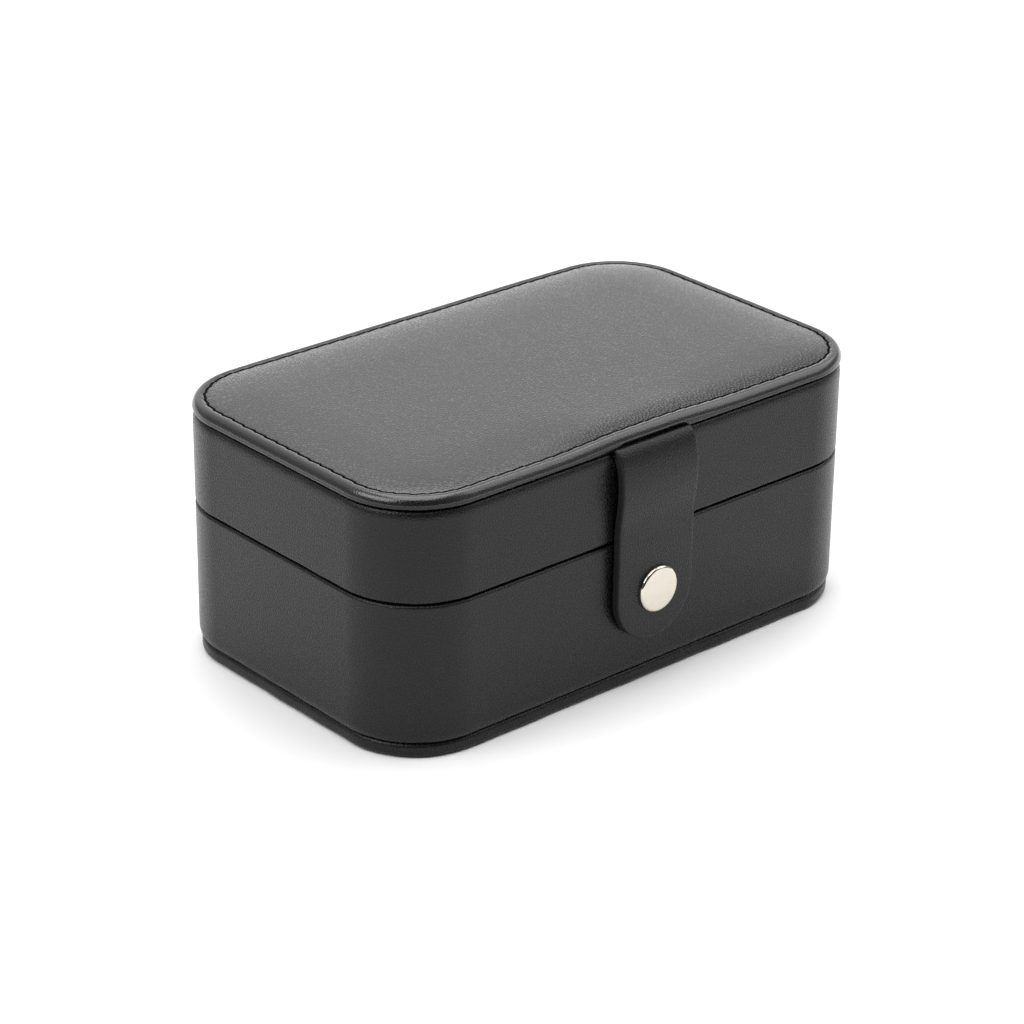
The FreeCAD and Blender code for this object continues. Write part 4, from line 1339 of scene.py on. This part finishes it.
class JEWELBOX_OT_lining(bpy.types.Operator):
    """Stuffs the ring rolls and pads the floor of the lower level"""

    bl_idname = "jewelbox.lining"
    bl_label = "Velvet lining"

    def execute(self, context):
        for node in sorted(name for name in frame["nodes"] if name.startswith("ring_roll_")):
            ring_roll(node)
        low, high = node_box("base_floor_pad")
        inset = node_box("base_wall_cover")[1][0] - high[0]
        outline = shell_outline(360)
        r = 0.5 * MM
        side = line((inset, low[2]), (inset, high[2] - r), 2)
        edge = np.concatenate((side, arc((inset + r, high[2] - r), r, 180, 90, 5)[1:]))
        rim = outline.sweep(edge[:, 0], edge[:, 1])
        shares = np.array([0.92, 0.8, 0.55, 0.3, 0.0])
        flat = outline.to_middle(inset + r, shares)
        over = at_height(flat, high[2] + settings().lining.pad_crown * (1 - shares ** 4))
        points = np.concatenate((rim, over, at_height(flat[:, ::-1], low[2])), axis=1)
        gap = rim.shape[1] + over.shape[1] - 1
        piece = ring_piece("base_floor_velvet", points, finish("Velvet"), gap)
        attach(piece, "base")
        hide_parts("base_floor_pad")
        return {"FINISHED"}


# Stage


def aim(place, target, roll=0.0):
    """A world matrix that looks from a place at a target, turned by roll about the line of sight."""
    forward = (Vector(target) - Vector(place)).normalized()
    right = forward.cross(Vector((0, 0, 1))).normalized()
    up = right.cross(forward)
    turned_right = right * math.cos(roll) + up * math.sin(roll)
    turned_up = up * math.cos(roll) - right * math.sin(roll)
    turn = Matrix((turned_right, turned_up, -forward)).transposed()
    return Matrix.Translation(Vector(place)) @ turn.to_4x4()


# Each soft box's name, setting, place, width and height, and the point that they all face
SOFT_BOXES = (
    ("Top box", "top_light", (0.03, 0.034, 1.05), 0.75, 1.5),
    ("Right box", "right_light", (0.95, -0.25, 0.95), 1.5, 0.9),
    ("Left box", "left_light", (-0.95, 0.1, 0.9), 1.0, 0.6),
)
LIT_POINT = (0, 0, 0.05)


def soft_box(name, place, width, height, watts):
    """A rectangular soft light that faces the box."""
    data = bpy.data.lights.new(name, "AREA")
    data.shape = "RECTANGLE"
    data.size, data.size_y, data.energy = width, height, watts
    lamp = bpy.data.objects.new(name, data)
    lamp.matrix_world = aim(place, LIT_POINT)
    bpy.context.scene.collection.objects.link(lamp)


# Each lobe's setting, side, and the cosines between which it grows to full strength
SKY_LOBES = (
    ("sky_bright", (0.655, 0.74, 0.16), 0.68, 1.0),
    ("sky_horizon", (0.66, 0.75, -0.05), 0.955, 1.0),
    ("sky_back", (-0.05, 0.72, 0.69), 0.78, 1.0),
)
# The side behind the camera, and the cosines between which the sky darkens to it
CAMERA_SIDE = (-0.63, -0.7, 0.34)
CAMERA_COSINES = (0.35, 0.95)
WHITE = (1.0, 1.0, 1.0, 1.0)


def studio_sky(stage):
    """A white world: one level all round, brighter on the far side, darker behind the camera.

    Each change is a smooth step of the cosine between a direction and the side it belongs to.
    """
    world = bpy.data.worlds.new("Studio")
    world.use_nodes = True
    tree = world.node_tree
    way = tree.nodes.new("ShaderNodeTexCoord").outputs["Generated"]

    def toward(side):
        dot = {"operation": "DOT_PRODUCT"}
        return add_node(tree, "ShaderNodeVectorMath", dot, _0=way, _1=side).outputs["Value"]

    base = stage.sky_base
    level = ranged(tree, toward(CAMERA_SIDE), *CAMERA_COSINES, base, base * stage.sky_dark)
    for name, side, low, high in SKY_LOBES:
        level = plus(tree, level, ranged(tree, toward(side), low, high, 0.0, getattr(stage, name)))
    set_inputs(tree, tree.nodes["Background"], {"Color": WHITE, "Strength": level})
    bpy.context.scene.world = world


# Distances from the box between which the floor turns white
FLOOR_FADE = (0.4, 1.0)


def white_floor(name, colour):
    """A matte floor that takes the shadow, and far from the box looks white to the eye and in reflections."""
    tree = new_tree(name)
    place = object_place(tree)
    plain = toned(tree, noise(tree, place, 3.0), colour, 0.995, 1.005)
    path = tree.nodes.new("ShaderNodeLightPath").outputs
    seen = maths(tree, "MAXIMUM", path["Is Camera Ray"], path["Is Transmission Ray"])
    seen = maths(tree, "MAXIMUM", seen, path["Is Glossy Ray"])
    away = add_node(tree, "ShaderNodeVectorMath", {"operation": "LENGTH"}, _0=place).outputs["Value"]
    glow = times(tree, seen, ranged(tree, away, *FLOOR_FADE, 0.0, 1.0))
    surface(tree, Base_Color=mixed(tree, seen, plain, grown(colour, 1.0)), Roughness=1.0)
    surface(tree, Emission_Color=WHITE, Emission_Strength=glow, Specular_IOR_Level=0.0)


class JEWELBOX_OT_stage(bpy.types.Operator):
    """Sets the camera, a white floor, the light and the view transform"""

    bl_idname = "jewelbox.stage"
    bl_label = "Stage"

    def execute(self, context):
        stage = settings().stage
        scene = context.scene
        scene.view_settings.view_transform = "Standard"
        camera = bpy.data.cameras.new("Camera")
        camera.lens, camera.sensor_width = stage.camera_lens, 36.0
        camera.clip_start = 0.01
        view = bpy.data.objects.new("Camera", camera)
        view.matrix_world = aim(stage.camera_place, stage.camera_target, stage.camera_roll)
        scene.collection.objects.link(view)
        scene.camera = view
        half = stage.floor_size / 2
        corners = np.array([(-half, -half, 0), (half, -half, 0), (half, half, 0), (-half, half, 0)])
        white_floor("Floor", settings().finish.floor)
        floor = mesh_piece("floor", corners, [[0, 1, 2, 3]], finish("Floor"))
        studio_sky(stage)
        for name, power, place, width, height in SOFT_BOXES:
            soft_box(name, place, width, height, getattr(stage, power))
        return {"FINISHED"}


STEPS = (
    JEWELBOX_OT_finishes,
    JEWELBOX_OT_walls,
    JEWELBOX_OT_base_panel,
    JEWELBOX_OT_padded_top,
    JEWELBOX_OT_stitching,
    JEWELBOX_OT_strap,
    JEWELBOX_OT_snap,
    JEWELBOX_OT_hinge,
    JEWELBOX_OT_lining,
    JEWELBOX_OT_stage,
)


class JEWELBOX_PT_steps(bpy.types.Panel):
    """Lists the steps that dress the box, and the settings they read"""

    bl_idname = "JEWELBOX_PT_steps"
    bl_label = "Jewelry box"
    bl_space_type = "VIEW_3D"
    bl_region_type = "UI"
    bl_category = "Jewelry box"

    def draw(self, context):
        for step in STEPS:
            self.layout.operator(step.bl_idname)
        for name, group in GROUPS.items():
            box = self.layout.box()
            box.label(text=name.capitalize())
            for key in group.__annotations__:
                box.prop(getattr(context.scene.jewel_box, name), key)


CLASSES = (*GROUPS.values(), JewelBoxSettings, *STEPS, JEWELBOX_PT_steps)


def register():
    """Registers the classes and hangs the settings on the scene."""
    for item in CLASSES:
        bpy.utils.register_class(item)
    bpy.types.Scene.jewel_box = bpy.props.PointerProperty(type=JewelBoxSettings)


def unregister():
    """Takes the settings and the classes away again."""
    del bpy.types.Scene.jewel_box
    for item in reversed(CLASSES):
        bpy.utils.unregister_class(item)


def main():
    register()
    for step in STEPS:
        group, name = step.bl_idname.split(".")
        getattr(getattr(bpy.ops, group), name)()
    bpy.context.view_layer.update()


if __name__ == "__main__":
    main()
